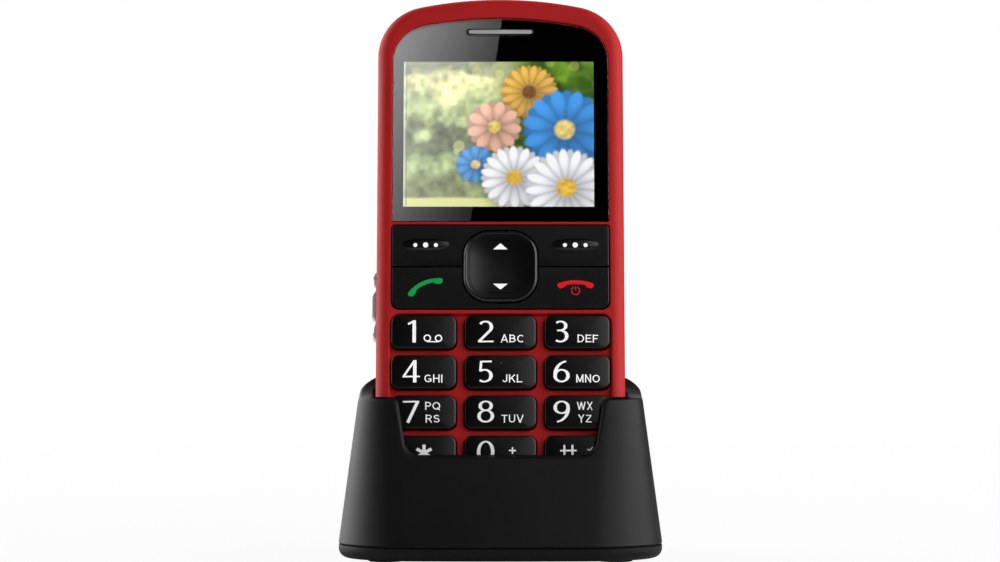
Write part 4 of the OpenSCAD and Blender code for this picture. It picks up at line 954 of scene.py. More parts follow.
for name, spot in key_boxes.items():
    cap = Skin()
    cap.grid(crowned_cap(*spot))
    cap.flat(grown(rounded_rect(*spot, KEY_R, steps=8), FLANGE), height=key_low + FLANGE_H)
    if name == "key_5":
        a = np.linspace(0, np.pi / 2, RIM_RINGS)
        nub = np.stack([NUB_R * np.cos(a), NUB_H * np.sin(a)], 1) + [1e-4, key_top - NUB_SUNK]
        nub_x, nub_y = (spot[0] + spot[1]) / 2 + NUB_X, (spot[2] + spot[3]) / 2 + NUB_Y
        cap.grid(sweep(circle(nub_x, nub_y, 0.0, 20), nub))
    piece(name.replace("_", " "), cap, key_black, name, [name])
print(len(key_boxes), "number keys, crown radius", KEY_CROWN, "mm")

# %% [markdown]
# The function keys are the four quarters of one flat panel round the navigation key. One quarter's
# outline, mirrored, gives all four. The two upper keys carry a raised leaf-shaped grip.

# %% Function keys
SEAM, MIDDLE_SEAM, PANEL_GAP, PANEL_RISE = 0.3, 0.06, 0.13, 0.25
QUARTER_R, PANEL_EDGE, NAV_FADE, SEAM_FADE = 0.25, 0.14, (0.5, 1.2), (0.3, 0.8)
nav_lo, nav_hi = phone_box("nav_key")
nav_half = (nav_hi[0] - nav_lo[0]) / 2
NAV_R = 6.0
panel_top = thick + PANEL_RISE
panel_half_w, panel_half_h = (panel_x1 - panel_x0) / 2, (panel_y1 - panel_y0) / 2


def quarter(corner_r):
    """Upper right quarter of the panel about its middle: a rectangle with the navigation key's rounded
    square taken out of its lower left corner. The quarters nearly touch in the middle."""
    s, hole, hole_r, small = SEAM / 2, nav_half + SEAM, NAV_R + SEAM, QUARTER_R
    w, h, middle = panel_half_w - PANEL_GAP, panel_half_h - PANEL_GAP, MIDDLE_SEAM / 2
    return np.concatenate([
        arc(w - small, s + small, small, -90, 0, 4),
        arc(w - corner_r, h - corner_r, corner_r, 0, 90, 8),
        arc(middle + small, h - small, small, 90, 180, 4),
        arc(middle + small, hole + small, small, 180, 270, 4),
        arc(hole - hole_r, hole - hole_r, hole_r, 90, 0, 16),
        arc(hole + small, s + small, small, 180, 270, 4)])


GRIP_L, GRIP_W, GRIP_RISE, GRIP_SUNK = 11.0, 2.8, 0.45, 0.01


def grip_half(s):
    """Half the grip's width: an oval with full ends, the root of one less the cube of s."""
    return GRIP_W / 2 * np.sqrt(1 - np.abs(s) ** 3)


def grip_height(s, t):
    """Height of the grip: it falls to its ends with the square of s, so that one end catches the light, and
    stays level across until the fourth power of t rounds its sides."""
    return GRIP_RISE * (1 - s ** 2) * np.clip(1 - t ** 4, 0, None)


FUNCTION_KEYS = (("left_soft_key", -1, 1), ("right_soft_key", 1, 1), ("call_key", -1, -1), ("end_key", 1, -1))
SIGN_OUT, SIGN_UP = 0.45, 0.3
func_x, func_y = (panel_half_w + nav_half) / 2 + SIGN_OUT, panel_half_h / 2 + SIGN_UP
s, t = np.meshgrid(np.linspace(-1, 1, 41), np.linspace(-1, 1, 17))
leaf = np.stack([GRIP_L / 2 * s, grip_half(s) * t, grip_height(s, t)], 2)

panel_edge = round_out(PANEL_EDGE, key_low, panel_top)
for name, sx, sy in FUNCTION_KEYS:
    outline = mirrored(quarter(PANEL_HIGH_R if sy > 0 else PANEL_LOW_R), sx, sy)
    # The edge round fades out round the navigation key and along the middle seam
    near_nav = np.abs(outline[:, :2]).max(1)
    outline[:, 2:] *= smooth(nav_half + NAV_FADE[0], nav_half + NAV_FADE[1], near_nav)[:, None]
    outline[:, 2] *= smooth(*SEAM_FADE, np.abs(outline[:, 0]))
    outline[:, 1] += panel_mid
    key = Skin()
    key.grid(sweep(outline, panel_edge))
    key.flat(grown(outline, panel_edge[-1, 0]), height=panel_top)
    if sy > 0:
        key.grid(leaf + [sx * func_x, panel_mid + func_y, panel_top - GRIP_SUNK], closed=False)
    piece(name.replace("_", " "), key, panel_black, name, [name])
print("four function keys, grip", GRIP_L, "mm long")

# %% [markdown]
# The navigation key is a rounded square with a bevelled rim and a dished middle. Rings shrink from the
# rim to the middle, and the dish sinks with the square of the way in. Its gloss shows every dent, so it is
# a formula and not sculpted.

# %% Navigation key
nav_top = nav_hi[2]
NAV_DISH = 0.7
nav_outline = rounded_rect(-nav_half, nav_half, panel_mid - nav_half, panel_mid + nav_half, NAV_R, steps=14)
# Up the wall, round the bevel to the raised rim, and over it down into the dish
nav_edge = np.array([[0, key_low], [0, nav_top - 0.62], [-0.03, nav_top - 0.48], [-0.1, nav_top - 0.37],
                     [-0.44, nav_top - 0.06], [-0.55, nav_top], [-0.64, nav_top - 0.012],
                     [-0.77, nav_top - 0.1], [-0.88, nav_top - 0.14], [-1.0, nav_top - 0.15]])
nav = Skin()
nav.grid(sweep(nav_outline, nav_edge))
way = np.linspace(0, 1, 15)
dish_edge = grown(nav_outline, nav_edge[-1, 0])[:, :2]
dish_xy = [0, panel_mid] + (1 - way)[:, None, None] * (dish_edge[None] - [0, panel_mid])


def nav_height(x, y):
    """The dish's height: lowest in the middle, rising with the square of the way out, which is the cube root
    of the summed cubes of x and y, so that its level lines are rounded squares."""
    out = ((np.abs(x) ** 3 + np.abs(y - panel_mid) ** 3) ** (1 / 3)) / (nav_half + nav_edge[-1, 0])
    return nav_edge[-1, 1] - NAV_DISH * np.clip(1 - out ** 2, 0, None)


dish_z = nav_height(dish_xy[..., 0], dish_xy[..., 1])
dish_z[0] = nav_edge[-1, 1]
nav.grid(np.concatenate([dish_xy, dish_z[..., None]], 2))
piece("navigation key", nav, panel_black, "nav_key", ["nav_key"])
print("navigation key", round(2 * nav_half, 1), "mm square")

# %% [markdown]
# Legends are printed. Each is drawn with pen strokes: a path of lines and arcs, and a nib that is broad
# on upright strokes and narrow on level ones, as on a signwriter's figures. The strokes become ribbons
# that lie on the key's crown, thinner than a hair above it. Text objects are quicker, but need a font with
# this nib, and would have to be bent to the crown.

# %% Pen strokes
def bow(cx, cy, rx, ry, start, end):
    """Part of an ellipse: the cosine of an angle times rx and its sine times ry, a point for every nine
    degrees."""
    a = np.radians(np.linspace(start, end, max(6, int(abs(end - start) / 9))))
    return np.stack([cx + rx * np.cos(a), cy + ry * np.sin(a)], 1)


def line(x0, y0, x1, y1):
    """Straight path in eight steps, so that it can follow a curved face."""
    t = np.linspace(0, 1, 9)[:, None]
    return np.array([x0, y0]) + t * np.array([x1 - x0, y1 - y0])


def joined(*parts):
    """Several paths drawn without lifting the pen."""
    return np.concatenate(parts)


def bowl(x, top, low, rx):
    """The round of a letter such as B: out from the stem to x, half an ellipse from top to low, and back."""
    return joined(line(0.1, top, x, top), bow(x, (top + low) / 2, rx, (top - low) / 2, 90, -90),
                  line(x, low, 0.1, low))


FIGURES = {
    "1": [line(0.30, 0, 0.30, 1), line(0.33, 0.975, 0.03, 0.83)],
    "2": [joined(bow(0.335, 0.70, 0.265, 0.25, 146, -35), line(0.53, 0.53, 0.06, 0.06)),
          line(0.02, 0.05, 0.69, 0.05)],
    "3": [bow(0.29, 0.755, 0.235, 0.198, 136, -88), bow(0.29, 0.295, 0.275, 0.247, 88, -133),
          line(0.15, 0.55, 0.32, 0.55)],
    "4": [line(0.50, 0.96, 0.05, 0.29), line(0.0, 0.27, 0.75, 0.27), line(0.53, 0, 0.53, 1)],
    "5": [line(0.12, 0.945, 0.61, 0.945), line(0.155, 0.97, 0.115, 0.51),
          bow(0.29, 0.31, 0.29, 0.265, 128, -133)],
    "6": [bow(0.36, 0.31, 0.28, 0.262, 0, 360), bow(0.63, 0.37, 0.55, 0.585, 97, 186)],
    "7": [line(0.0, 0.94, 0.70, 0.94), line(0.635, 0.93, 0.21, 0)],
    "8": [bow(0.375, 0.755, 0.24, 0.197, 0, 360), bow(0.375, 0.30, 0.29, 0.252, 0, 360)],
    "9": [bow(0.37, 0.69, 0.28, 0.262, 0, 360), bow(0.10, 0.63, 0.55, 0.585, -83, 6)],
    "0": [bow(0.385, 0.5, 0.305, 0.455, 0, 360)],
}
# The slanting stroke of the 4 and the upright of the 5 are finer than the rest
FINE_STROKES = {("4", 0), ("5", 1)}
print(len(FIGURES), "figures drawn")

# %% [markdown]
# A letter is its width and its strokes, as shares of its height. Twelve of them start with the same stem.

# %% Letters
STEM = line(0.1, 0, 0.1, 1)
LETTERS = {
    "A": (0.88, [line(0.06, 0, 0.44, 1), line(0.44, 1, 0.82, 0), line(0.2, 0.3, 0.68, 0.3)]),
    "B": (0.80, [STEM, bowl(0.4, 0.9, 0.52, 0.22), bowl(0.42, 0.52, 0.1, 0.27)]),
    "C": (0.84, [bow(0.46, 0.5, 0.37, 0.4, 48, 312)]),
    "D": (0.84, [STEM, bowl(0.36, 0.9, 0.1, 0.38)]),
    "E": (0.72, [STEM, line(0.1, 0.9, 0.7, 0.9), line(0.1, 0.52, 0.65, 0.52), line(0.1, 0.1, 0.72, 0.1)]),
    "F": (0.68, [STEM, line(0.1, 0.9, 0.68, 0.9), line(0.1, 0.5, 0.6, 0.5)]),
    "G": (0.90, [bow(0.46, 0.5, 0.37, 0.4, 48, 330), line(0.48, 0.44, 0.85, 0.44),
                 line(0.78, 0.44, 0.78, 0.1)]),
    "H": (0.82, [STEM, line(0.72, 0, 0.72, 1), line(0.1, 0.52, 0.72, 0.52)]),
    "I": (0.20, [STEM]),
    "J": (0.60, [joined(line(0.49, 1, 0.49, 0.32), bow(0.28, 0.3, 0.21, 0.2, 0, -175))]),
    "K": (0.80, [STEM, line(0.72, 0.97, 0.12, 0.4), line(0.34, 0.6, 0.75, 0.03)]),
    "L": (0.68, [STEM, line(0.1, 0.1, 0.68, 0.1)]),
    "M": (0.92, [STEM, line(0.12, 0.95, 0.46, 0.08), line(0.46, 0.08, 0.80, 0.95), line(0.82, 0, 0.82, 1)]),
    "N": (0.77, [STEM, line(0.12, 0.95, 0.65, 0.05), line(0.67, 0, 0.67, 1)]),
    "O": (0.90, [bow(0.45, 0.5, 0.37, 0.4, 0, 360)]),
    "P": (0.74, [STEM, bowl(0.4, 0.9, 0.46, 0.25)]),
    "Q": (0.96, [bow(0.48, 0.5, 0.39, 0.4, 0, 360), line(0.56, 0.3, 0.9, -0.02)]),
    "R": (0.82, [STEM, bowl(0.42, 0.9, 0.48, 0.26), line(0.4, 0.48, 0.75, 0.02)]),
    "S": (0.76, [joined(bow(0.38, 0.71, 0.27, 0.19, 25, 270), bow(0.38, 0.31, 0.29, 0.21, 90, -160))]),
    "T": (0.74, [line(0, 0.9, 0.74, 0.9), line(0.37, 0.9, 0.37, 0)]),
    "U": (0.80, [joined(line(0.1, 1, 0.1, 0.38), bow(0.4, 0.37, 0.3, 0.27, 180, 360),
                        line(0.7, 0.38, 0.7, 1))]),
    "V": (0.84, [line(0.06, 1, 0.42, 0.02), line(0.42, 0.02, 0.78, 1)]),
    "W": (1.04, [line(0.06, 1, 0.29, 0.02), line(0.29, 0.02, 0.52, 0.96), line(0.52, 0.96, 0.75, 0.02),
                 line(0.75, 0.02, 0.98, 1)]),
    "X": (0.72, [line(0.08, 1, 0.64, 0), line(0.64, 1, 0.08, 0)]),
    "Y": (0.74, [line(0.06, 1, 0.37, 0.46), line(0.68, 1, 0.37, 0.46), line(0.37, 0.5, 0.37, 0)]),
    "Z": (0.74, [line(0.06, 0.9, 0.7, 0.9), line(0.66, 0.88, 0.08, 0.12), line(0.04, 0.1, 0.72, 0.1)]),
}
print(len(LETTERS), "letters drawn")

# %% [markdown]
# Where strokes cross, each lies a trace higher than the one before, so that no two share a plane. The
# breadths of the nib are shares of the size of the figure or letter.

# %% Printing on a face
LIFT, TRACE, LETTER_GAP = 0.02, 0.0015, 0.13
LETTER_NIB, FIGURE_NIB, FINE_NIB = (0.135, 0.115), (0.15, 0.07), (0.105, 0.07)


def ribbon(path, broad, narrow):
    """Both edges of a stroke: the path moved sideways by half the nib, whose breadth goes from narrow on
    level parts to broad on upright ones."""
    along = unit(np.gradient(path, axis=0))
    half = (narrow + (broad - narrow) * along[:, 1:] ** 2) / 2
    side = np.stack([-along[:, 1], along[:, 0]], 1)
    return np.stack([path - half * side, path + half * side])


class Print(Skin):
    """A legend: ribbons and filled shapes laid on a face that height(x, y) describes."""

    def __init__(self, height):
        super().__init__()
        self.height, self.layer = height, 0

    def lay(self, xy):
        """Puts a grid of points on the face, each stroke a trace higher than the last."""
        self.layer += 1
        z = self.height(xy[..., 0], xy[..., 1]) + LIFT + TRACE * self.layer
        self.grid(np.concatenate([xy, z[..., None]], 2), closed=False)

    def stroke(self, path, broad, narrow=None):
        """One ribbon along a path."""
        self.lay(ribbon(path, broad, broad if narrow is None else narrow))

    def disc(self, cx, cy, r, turns=24):
        """A filled circle, as a ring that all but closes in the middle."""
        a = np.linspace(0, 2 * np.pi, turns + 1)
        reach = np.array([r, 1e-4])[:, None]
        self.lay(np.stack([cx + reach * np.cos(a), cy + reach * np.sin(a)], 2))

    def word(self, text, x, y, size):
        """Capital letters centred on x, standing on y."""
        wide = sum(LETTERS[c][0] for c in text) + LETTER_GAP * (len(text) - 1)
        pen = x - size * wide / 2
        for c in text:
            for path in LETTERS[c][1]:
                self.stroke(np.array([pen, y]) + size * path, *[nib * size for nib in LETTER_NIB])
            pen += size * (LETTERS[c][0] + LETTER_GAP)

    def figure(self, text, x, y, size):
        """A digit centred on x, standing on y."""
        paths = FIGURES[text]
        every = np.concatenate(paths)
        middle = (every[:, 0].min() + every[:, 0].max()) / 2
        for k, path in enumerate(paths):
            nibs = FINE_NIB if (text, k) in FINE_STROKES else FIGURE_NIB
            self.stroke(np.array([x, y]) + size * (path - [middle, 0]), *[nib * size for nib in nibs])


print("ink lies", LIFT, "mm above its key")

# %% [markdown]
# The figures stand left of the middle of their key, and the letters right of it on the same foot line.
# The keys at the sides have their figures a little nearer to the middle. Four keys have signs of their
# own: a tape on the 1, a plus on the 0, the star, and the hash with a small tick.

# %% Number legends
FIGURE_H, LETTER_H, FOOT, WORD_STEP = 5.35, 1.95, -2.72, 3.05
COLUMN_FIGURE = (-2.85, -3.4, -3.66)
COLUMN_LETTER = (2.3, 2.78, 2.45)
PAIR_SHIFT = {"7": -0.15, "9": -0.75}
# The lower rows use the inks whose weaker painted glow stands for painted shade
ROW_INK_PAINTED_SHADE = (white_ink_painted_glow, white_ink_painted_glow, third_row_ink_painted_shade, fourth_row_ink_painted_shade)
WORDS = {"2": "ABC", "3": "DEF", "4": "GHI", "5": "JKL", "6": "MNO", "7": "PQ RS", "8": "TUV", "9": "WX YZ"}


def own_sign(ink, sign, cx, cy, lx, foot):
    """Strokes of a key's own sign, from the key's middle or from the foot of its letters."""
    if sign == "1":
        for s in (-1, 1):
            ink.stroke(bow(lx - 0.15 + 1.3 * s, foot + 1.05, 0.72, 0.72, 0, 360), 0.3)
        ink.stroke(line(lx - 1.5, foot + 0.2, lx + 1.2, foot + 0.2), 0.26)
    if sign == "0":
        ink.stroke(line(lx - 0.8, foot + 3.0, lx + 0.8, foot + 3.0), 0.36)
        ink.stroke(line(lx, foot + 2.2, lx, foot + 3.8), 0.36)
    if sign == "star":
        for turn in (90, 30, 150):
            dx, dy = 2.0 * math.cos(math.radians(turn)), 2.0 * math.sin(math.radians(turn))
            ink.stroke(line(cx + 0.2 - dx, cy - 0.35 - dy, cx + 0.2 + dx, cy - 0.35 + dy), 0.75)
    if sign == "hash":
        hx, hy = cx - 2.15, cy - 0.6
        for s in (-1, 1):
            ink.stroke(line(hx + 0.93 * s, hy - 2.2, hx + 0.93 * s, hy + 2.2), 0.48)
            ink.stroke(line(hx - 1.9, hy + 0.85 * s, hx + 1.9, hy + 0.85 * s), 0.4)
        ink.stroke(line(cx + 2.2, cy + 0.6, cx + 2.68, cy + 0.3), 0.26)
        ink.stroke(line(cx + 2.68, cy + 0.3, cx + 3.5, cy + 1.1), 0.26)


for i, (name, (x0, x1, y0, y1)) in enumerate(key_boxes.items()):
    cx, cy, sign = (x0 + x1) / 2, (y0 + y1) / 2, name.split("_")[1]
    column = i % 3
    ink = Print(lambda x, y, cx=cx: crown_height(x, cx))
    fx, lx, foot_y = cx + COLUMN_FIGURE[column], cx + COLUMN_LETTER[column], cy + FOOT
    if sign in FIGURES:
        ink.figure(sign, fx, foot_y, FIGURE_H)
    words = WORDS.get(sign, "").split()
    for k, word in enumerate(words):
        word_y = foot_y + (len(words) - 1 - k) * WORD_STEP
        ink.word(word, lx + PAIR_SHIFT.get(sign, 0.0), word_y, LETTER_H)
    own_sign(ink, sign, cx, cy, lx, foot_y)
    piece("legend " + sign, ink, ROW_INK_PAINTED_SHADE[i // 3], name, sharp=180)
print("legends on", len(key_boxes), "keys")

# %% [markdown]
# The function keys carry three dots each, a green and a red handset, a small ring for the power and two
# arrowheads on the navigation key. A handset is a bowed ribbon that swells towards both ends.

# %% Function legends
DOT_DOWN, DOT_STEP, DOT_R, SIDE_DOT_R = 0.27, 2.4, 0.62, 0.48
ARROW_OUT, ARROW_L, ARROW_HALF = 4.17, 1.45, 1.7


def flat_face(x, y):
    """Height of the panel's flat face, the same everywhere."""
    return np.full(np.shape(x), panel_top)


def soft_key_face(sx):
    """Height of a soft key's face: the grip's height over the flat face."""
    def height(x, y):
        """The grip's own coordinates s and t run from -1 to 1 along it and across it."""
        s = np.clip((x - sx * func_x) / (GRIP_L / 2), -0.999, 0.999)
        t = (y - panel_mid - func_y) / grip_half(s)
        return panel_top - GRIP_SUNK + grip_height(s, t)
    return height


def handset(ink, cx, cy, long, bow_share, turn):
    """Handset bowed upwards and turned by an angle in degrees: slim in the middle, with a round lobe at
    each end that swells towards the inside of the bow."""
    t = np.sin(np.linspace(-np.pi / 2, np.pi / 2, 61))
    bowed = np.stack([long / 2 * t, -bow_share * long * t ** 2], 1)
    lobe = smooth(0.50, 0.72, np.abs(t))
    tip = np.sqrt(np.clip(1 - (np.clip(np.abs(t) - 0.86, 0, None) / 0.141) ** 2, 0, None))
    outer, inner_w = 0.055 * long * tip, (0.055 + 0.05 * lobe) * long * tip
    along = unit(np.stack([np.ones_like(t), -4 * bow_share * t], 1))
    side = np.stack([-along[:, 1], along[:, 0]], 1)
    edges = np.stack([bowed - inner_w[:, None] * side, bowed + outer[:, None] * side])
    c, s = math.cos(math.radians(turn)), math.sin(math.radians(turn))
    ink.lay(edges @ np.array([[c, s], [-s, c]]) + [cx, cy])


dot_y = panel_mid + func_y - DOT_DOWN
for name, sx in (("left_soft_key", -1), ("right_soft_key", 1)):
    ink = Print(soft_key_face(sx))
    for k in (-1, 0, 1):
        ink.disc(sx * func_x + DOT_STEP * k, dot_y, DOT_R if k == 0 else SIDE_DOT_R)
    piece("dots " + name.split("_")[0], ink, white_ink_painted_glow, name, sharp=180)
low_y = panel_mid - func_y
ink = Print(flat_face)
handset(ink, -func_x - 0.45, low_y + 1.35, 8.8, 0.14, 25)
piece("green handset", ink, green_ink, "call_key", sharp=180)
ink = Print(flat_face)
handset(ink, func_x + 0.05, low_y + 1.6, 8.5, 0.10, 0)
ink.stroke(bow(func_x + 0.05, low_y - 0.45, 0.95, 0.95, 115, 425), 0.24)
ink.stroke(line(func_x + 0.05, low_y - 0.4, func_x + 0.05, low_y + 0.6), 0.22)
piece("red handset", ink, red_ink, "end_key", sharp=180)
ink = Print(nav_height)
for s in (-1, 1):
    t = np.linspace(0, 1, 7)
    arrow_y, spread = panel_mid + s * ARROW_OUT + ARROW_L * s * t, ARROW_HALF * (1 - t)
    ink.lay(np.stack([np.stack([s * spread, arrow_y], 1), np.stack([-s * spread, arrow_y], 1)]))
piece("arrowheads", ink, white_ink_painted_glow, "nav_key", sharp=180)
# Two thin lines in the black print, above and below the arrowheads, are painted shade of fine grooves
ink = Print(nav_height)
for s in (-1, 1):
    ink.stroke(line(-2.7, panel_mid + s * 6.35, 2.3, panel_mid + s * 6.35), 0.12)
piece("fine lines", ink, mask_black, "nav_key", sharp=180)
print("function legends done")

# %% [markdown]
# The volume rocker stands out of its slot in the phone's left side. Its height along the side is a
# smooth curve: high in the middle, a dip on either side, and a fine ridge near each end for the thumb.
# Written as a function of the way along, the curve can be matched feature by feature.

# %% Volume rocker
RISE, END_RISE, RIDGE, ROCKER_EDGE = 1.2, 0.8, 0.22, 0.5
EDGE_BELOW, INNER_GAP = 0.3, 0.3
rocker_l = rocker_hi[1] - rocker_lo[1]
rocker_y = centre(rocker_lo, rocker_hi)[1]


def rocker_height(t):
    """Height above the phone's side at a distance t from the middle, as a sum of smooth steps."""
    d, low = np.abs(t), END_RISE / 2
    return (low + (RISE - low) * (1 - smooth(0.12 * rocker_l, 0.24 * rocker_l, d))
            + (END_RISE - low) * smooth(0.25 * rocker_l, 0.33 * rocker_l, d)
            + RIDGE * (1 - smooth(0, 0.7, np.abs(d - 0.4 * rocker_l)))
            - END_RISE * smooth(0.42 * rocker_l, 0.5 * rocker_l, d) ** 2)


t = np.linspace(rocker_l / 2, -rocker_l / 2, 113)
z0, z1 = rocker_lo[2], rocker_hi[2]
a = np.radians(np.linspace(0, 90, 6))
edge_in, edge_drop = ROCKER_EDGE * np.cos(a), ROCKER_EDGE - ROCKER_EDGE * np.sin(a)
across_z = np.concatenate([z0 + ROCKER_EDGE - edge_in, z1 - ROCKER_EDGE + edge_in[::-1]])
across_drop = np.concatenate([edge_drop, edge_drop[::-1]])
tt, zz = np.meshgrid(t, across_z)
drop = np.minimum(across_drop[:, None], rocker_height(t)[None] + EDGE_BELOW)
face = np.stack([-half_w - rocker_height(tt) + drop, rocker_y + tt, zz], 2)
rocker = Skin()
rocker.grid(face, closed=False)
for row, flip in ((face[0], True), (face[-1], False), (face[:, 0], False), (face[:, -1], True)):
    deep = row.copy()
    deep[:, 0] = -half_w + WALL - INNER_GAP
    rocker.grid(np.stack([deep, row] if flip else [row, deep]), closed=False)
piece("volume rocker", rocker, silver, "volume_rocker", ["volume_rocker"])
print("rocker", round(rocker_l, 1), "mm long")

# %% [markdown]
# The cradle's shell is a drafted, round-cornered wall. Its section at any height is a rounded rectangle
# whose sizes change evenly with height, so each point of the section runs up a straight line. The rim
# cuts these lines off: along the front it follows the notch and the two horns, behind the horns it is
# level, and then it sweeps up a cylinder that lies across the cradle. A small round runs along all of it.
# A Boolean cut and a Bevel modifier could make it too, but a bevel can break up where rounds meet, as at
# the tips of the horns.

# %% Cradle measures
shell_lo, shell_hi = table_box("cradle_shell")
base_half, base_front, base_back, shell_z = shell_hi[0], shell_lo[1], shell_hi[1], shell_lo[2]
LEAN = math.atan2(UP[1], UP[2])
BASE_R, RIM_R, BOW = 17.0, 8.0, 0.75
HORN_H, RIM_LEVEL, SWEEP_R = 37.75, 9.4, 20.0
NOTCH_H, NOTCH_R, HORN_R, FLARE = 24.55, 3.4, 1.8, math.radians(9.5)
HORN_REACH = 7.4
POCKET_GAP, FRONT_GAP, POCKET_R, SEAT_GAP = 0.4, 1.2, 3.0, 0.1
CRADLE_WALL, RIM_WALL = 2.4, 2.9
seat = ORIGIN / MM
rim_back = shell_hi[2]
rim_back_y = seat[1] + (rim_back - seat[2]) * math.tan(LEAN) + (POCKET_GAP + CRADLE_WALL) / math.cos(LEAN)
back_slope = (base_back - rim_back_y) / (rim_back - shell_z)
side_slope = (base_half - half_w - POCKET_GAP - RIM_WALL) / (rim_back - shell_z)
horn_y = base_front + (HORN_H - shell_z) * math.tan(LEAN)
sweep_y = horn_y + RIM_LEVEL


def section(z):
    """Half width, front, back and corner radius of the shell at a height."""
    up = z - shell_z
    return (base_half - up * side_slope, base_front + up * math.tan(LEAN), base_back - up * back_slope,
            BASE_R + (RIM_R - BASE_R) * up / (rim_back - shell_z))


def rim_z(y):
    """Height of the rim over a depth y: level behind the horns, then up the underside of a cylinder that
    lies across the cradle."""
    return HORN_H + SWEEP_R - np.sqrt(np.clip(SWEEP_R ** 2 - np.clip(y - sweep_y, 0, None) ** 2, 1, None))


def wall_point(side, f, z):
    """Point of the right half of the wall. side 0 is the front, which falls back a little with the square of
    f, the share of its width, 1 the front corner, which starts along the front and turns by f, 2 the side,
    3 the back corner and 4 the back."""
    half, front_y, back_y, r = section(z)
    straight = half - r
    start = np.arctan(2 * BOW / straight)
    turn = start + f * (1 - 2 * start / np.pi)
    x = np.select([side == 0, side == 1, side == 2, side == 3, side == 4],
                  [f * straight, straight + r * (np.sin(turn) - np.sin(start)) / (1 - np.sin(start)), half,
                   straight + r * np.cos(f), f * straight])
    y = np.select([side == 0, side == 1, side == 2, side == 3, side == 4],
                  [front_y + BOW * f ** 2, front_y + r - (r - BOW) * np.cos(turn) / np.cos(start),
                   front_y + r + f * (back_y - front_y - 2 * r), back_y - r + r * np.sin(f), back_y])
    return np.stack(np.broadcast_arrays(x, y, z), -1)


print(f"cradle {2 * base_half:.1f} mm wide, leaning by {math.degrees(LEAN):.1f} degrees")

# %% [markdown]
# Half of the rim is worked out, and the other half mirrors it. The front is drawn as the notch's outline.
# Elsewhere the rim's height depends on how far back the wall is, and that on the height, so both are
# found together in a few rounds of half steps.

# %% Outer rim of the cradle
CORNER_N, SIDE_N, BACK_N, ROUNDS = 12, 11, 20, 40
FOOT_IN, FOOT_UP = 0.25, 0.3
notch_half, flare_deg = half_w - HORN_REACH, math.degrees(FLARE)
low_c = (notch_half + NOTCH_R * math.tan(FLARE) - NOTCH_R / math.cos(FLARE), NOTCH_H + NOTCH_R)
top_c = (notch_half + (HORN_H - HORN_R - NOTCH_H) * math.tan(FLARE) + HORN_R / math.cos(FLARE),
         HORN_H - HORN_R)
low_arc = arc(*low_c, NOTCH_R, -90, -flare_deg, 10)[:, :2]
horn_arc = arc(*top_c, HORN_R, 180 - flare_deg, 90, 10)[:, :2]
t = np.linspace(0, 1, 25)[:-1, None]
flank = low_arc[-1] + np.linspace(0, 1, 9)[1:-1, None] * (horn_arc[0] - low_arc[-1])
notch_line = np.concatenate([t * low_arc[0] + (1 - t) * [0, NOTCH_H], low_arc, flank, horn_arc])


def front_side(x, z):
    """Which part of the wall a point of the notch's outline lies on, and how far along: wall_point solved
    for f."""
    half, _, _, r = section(z)
    out = x - (half - r)
    start = np.arctan(2 * BOW / (half - r))
    turn = np.arcsin(np.clip(np.sin(start) + out / r * (1 - np.sin(start)), 0, 1))
    corner_share = (turn - start) / (1 - 2 * start / np.pi)
    return np.where(out > 0, 1, 0), np.where(out > 0, corner_share, x / (half - r))


side_n, f_n = front_side(notch_line[:, 0], notch_line[:, 1])
side_all = np.concatenate([side_n, np.ones(CORNER_N), np.full(SIDE_N, 2), np.full(CORNER_N, 3),
                           np.full(BACK_N, 4)])
f_all = np.concatenate([f_n, np.linspace(f_n[-1], np.pi / 2, CORNER_N + 1)[1:],
                        np.linspace(0, 1, SIDE_N + 1)[1:], np.linspace(0, np.pi / 2, CORNER_N + 1)[1:],
                        np.linspace(1, 0, BACK_N + 1)[1:]])
on_notch = np.arange(len(side_all)) < len(notch_line)
z_all = np.concatenate([notch_line[:, 1], np.full(len(side_all) - len(notch_line), HORN_H)])
for _ in range(ROUNDS):
    spot = wall_point(side_all, f_all, z_all)
    z_all = np.where(on_notch, z_all, 0.5 * z_all + 0.5 * rim_z(spot[:, 1]))
outer_half = wall_point(side_all, f_all, z_all)
foot_half = wall_point(side_all, f_all, np.full_like(z_all, shell_z + FOOT_UP))
print("half of the rim has", len(outer_half), "points")

# %% [markdown]
# The inner rim belongs to the phone's pocket, a prism that leans with the phone. It is drawn point for
# point with the outer rim, so that the two can be joined by faces.

# %% Inner rim of the cradle
FRONT_N = 3


def pocket_point(x, deep, y):
    """Point inside the pocket's prism, from the phone's axes to the cradle's."""
    return (ORIGIN + MM * (np.stack([x, y, deep], -1) @ AXES)) / MM


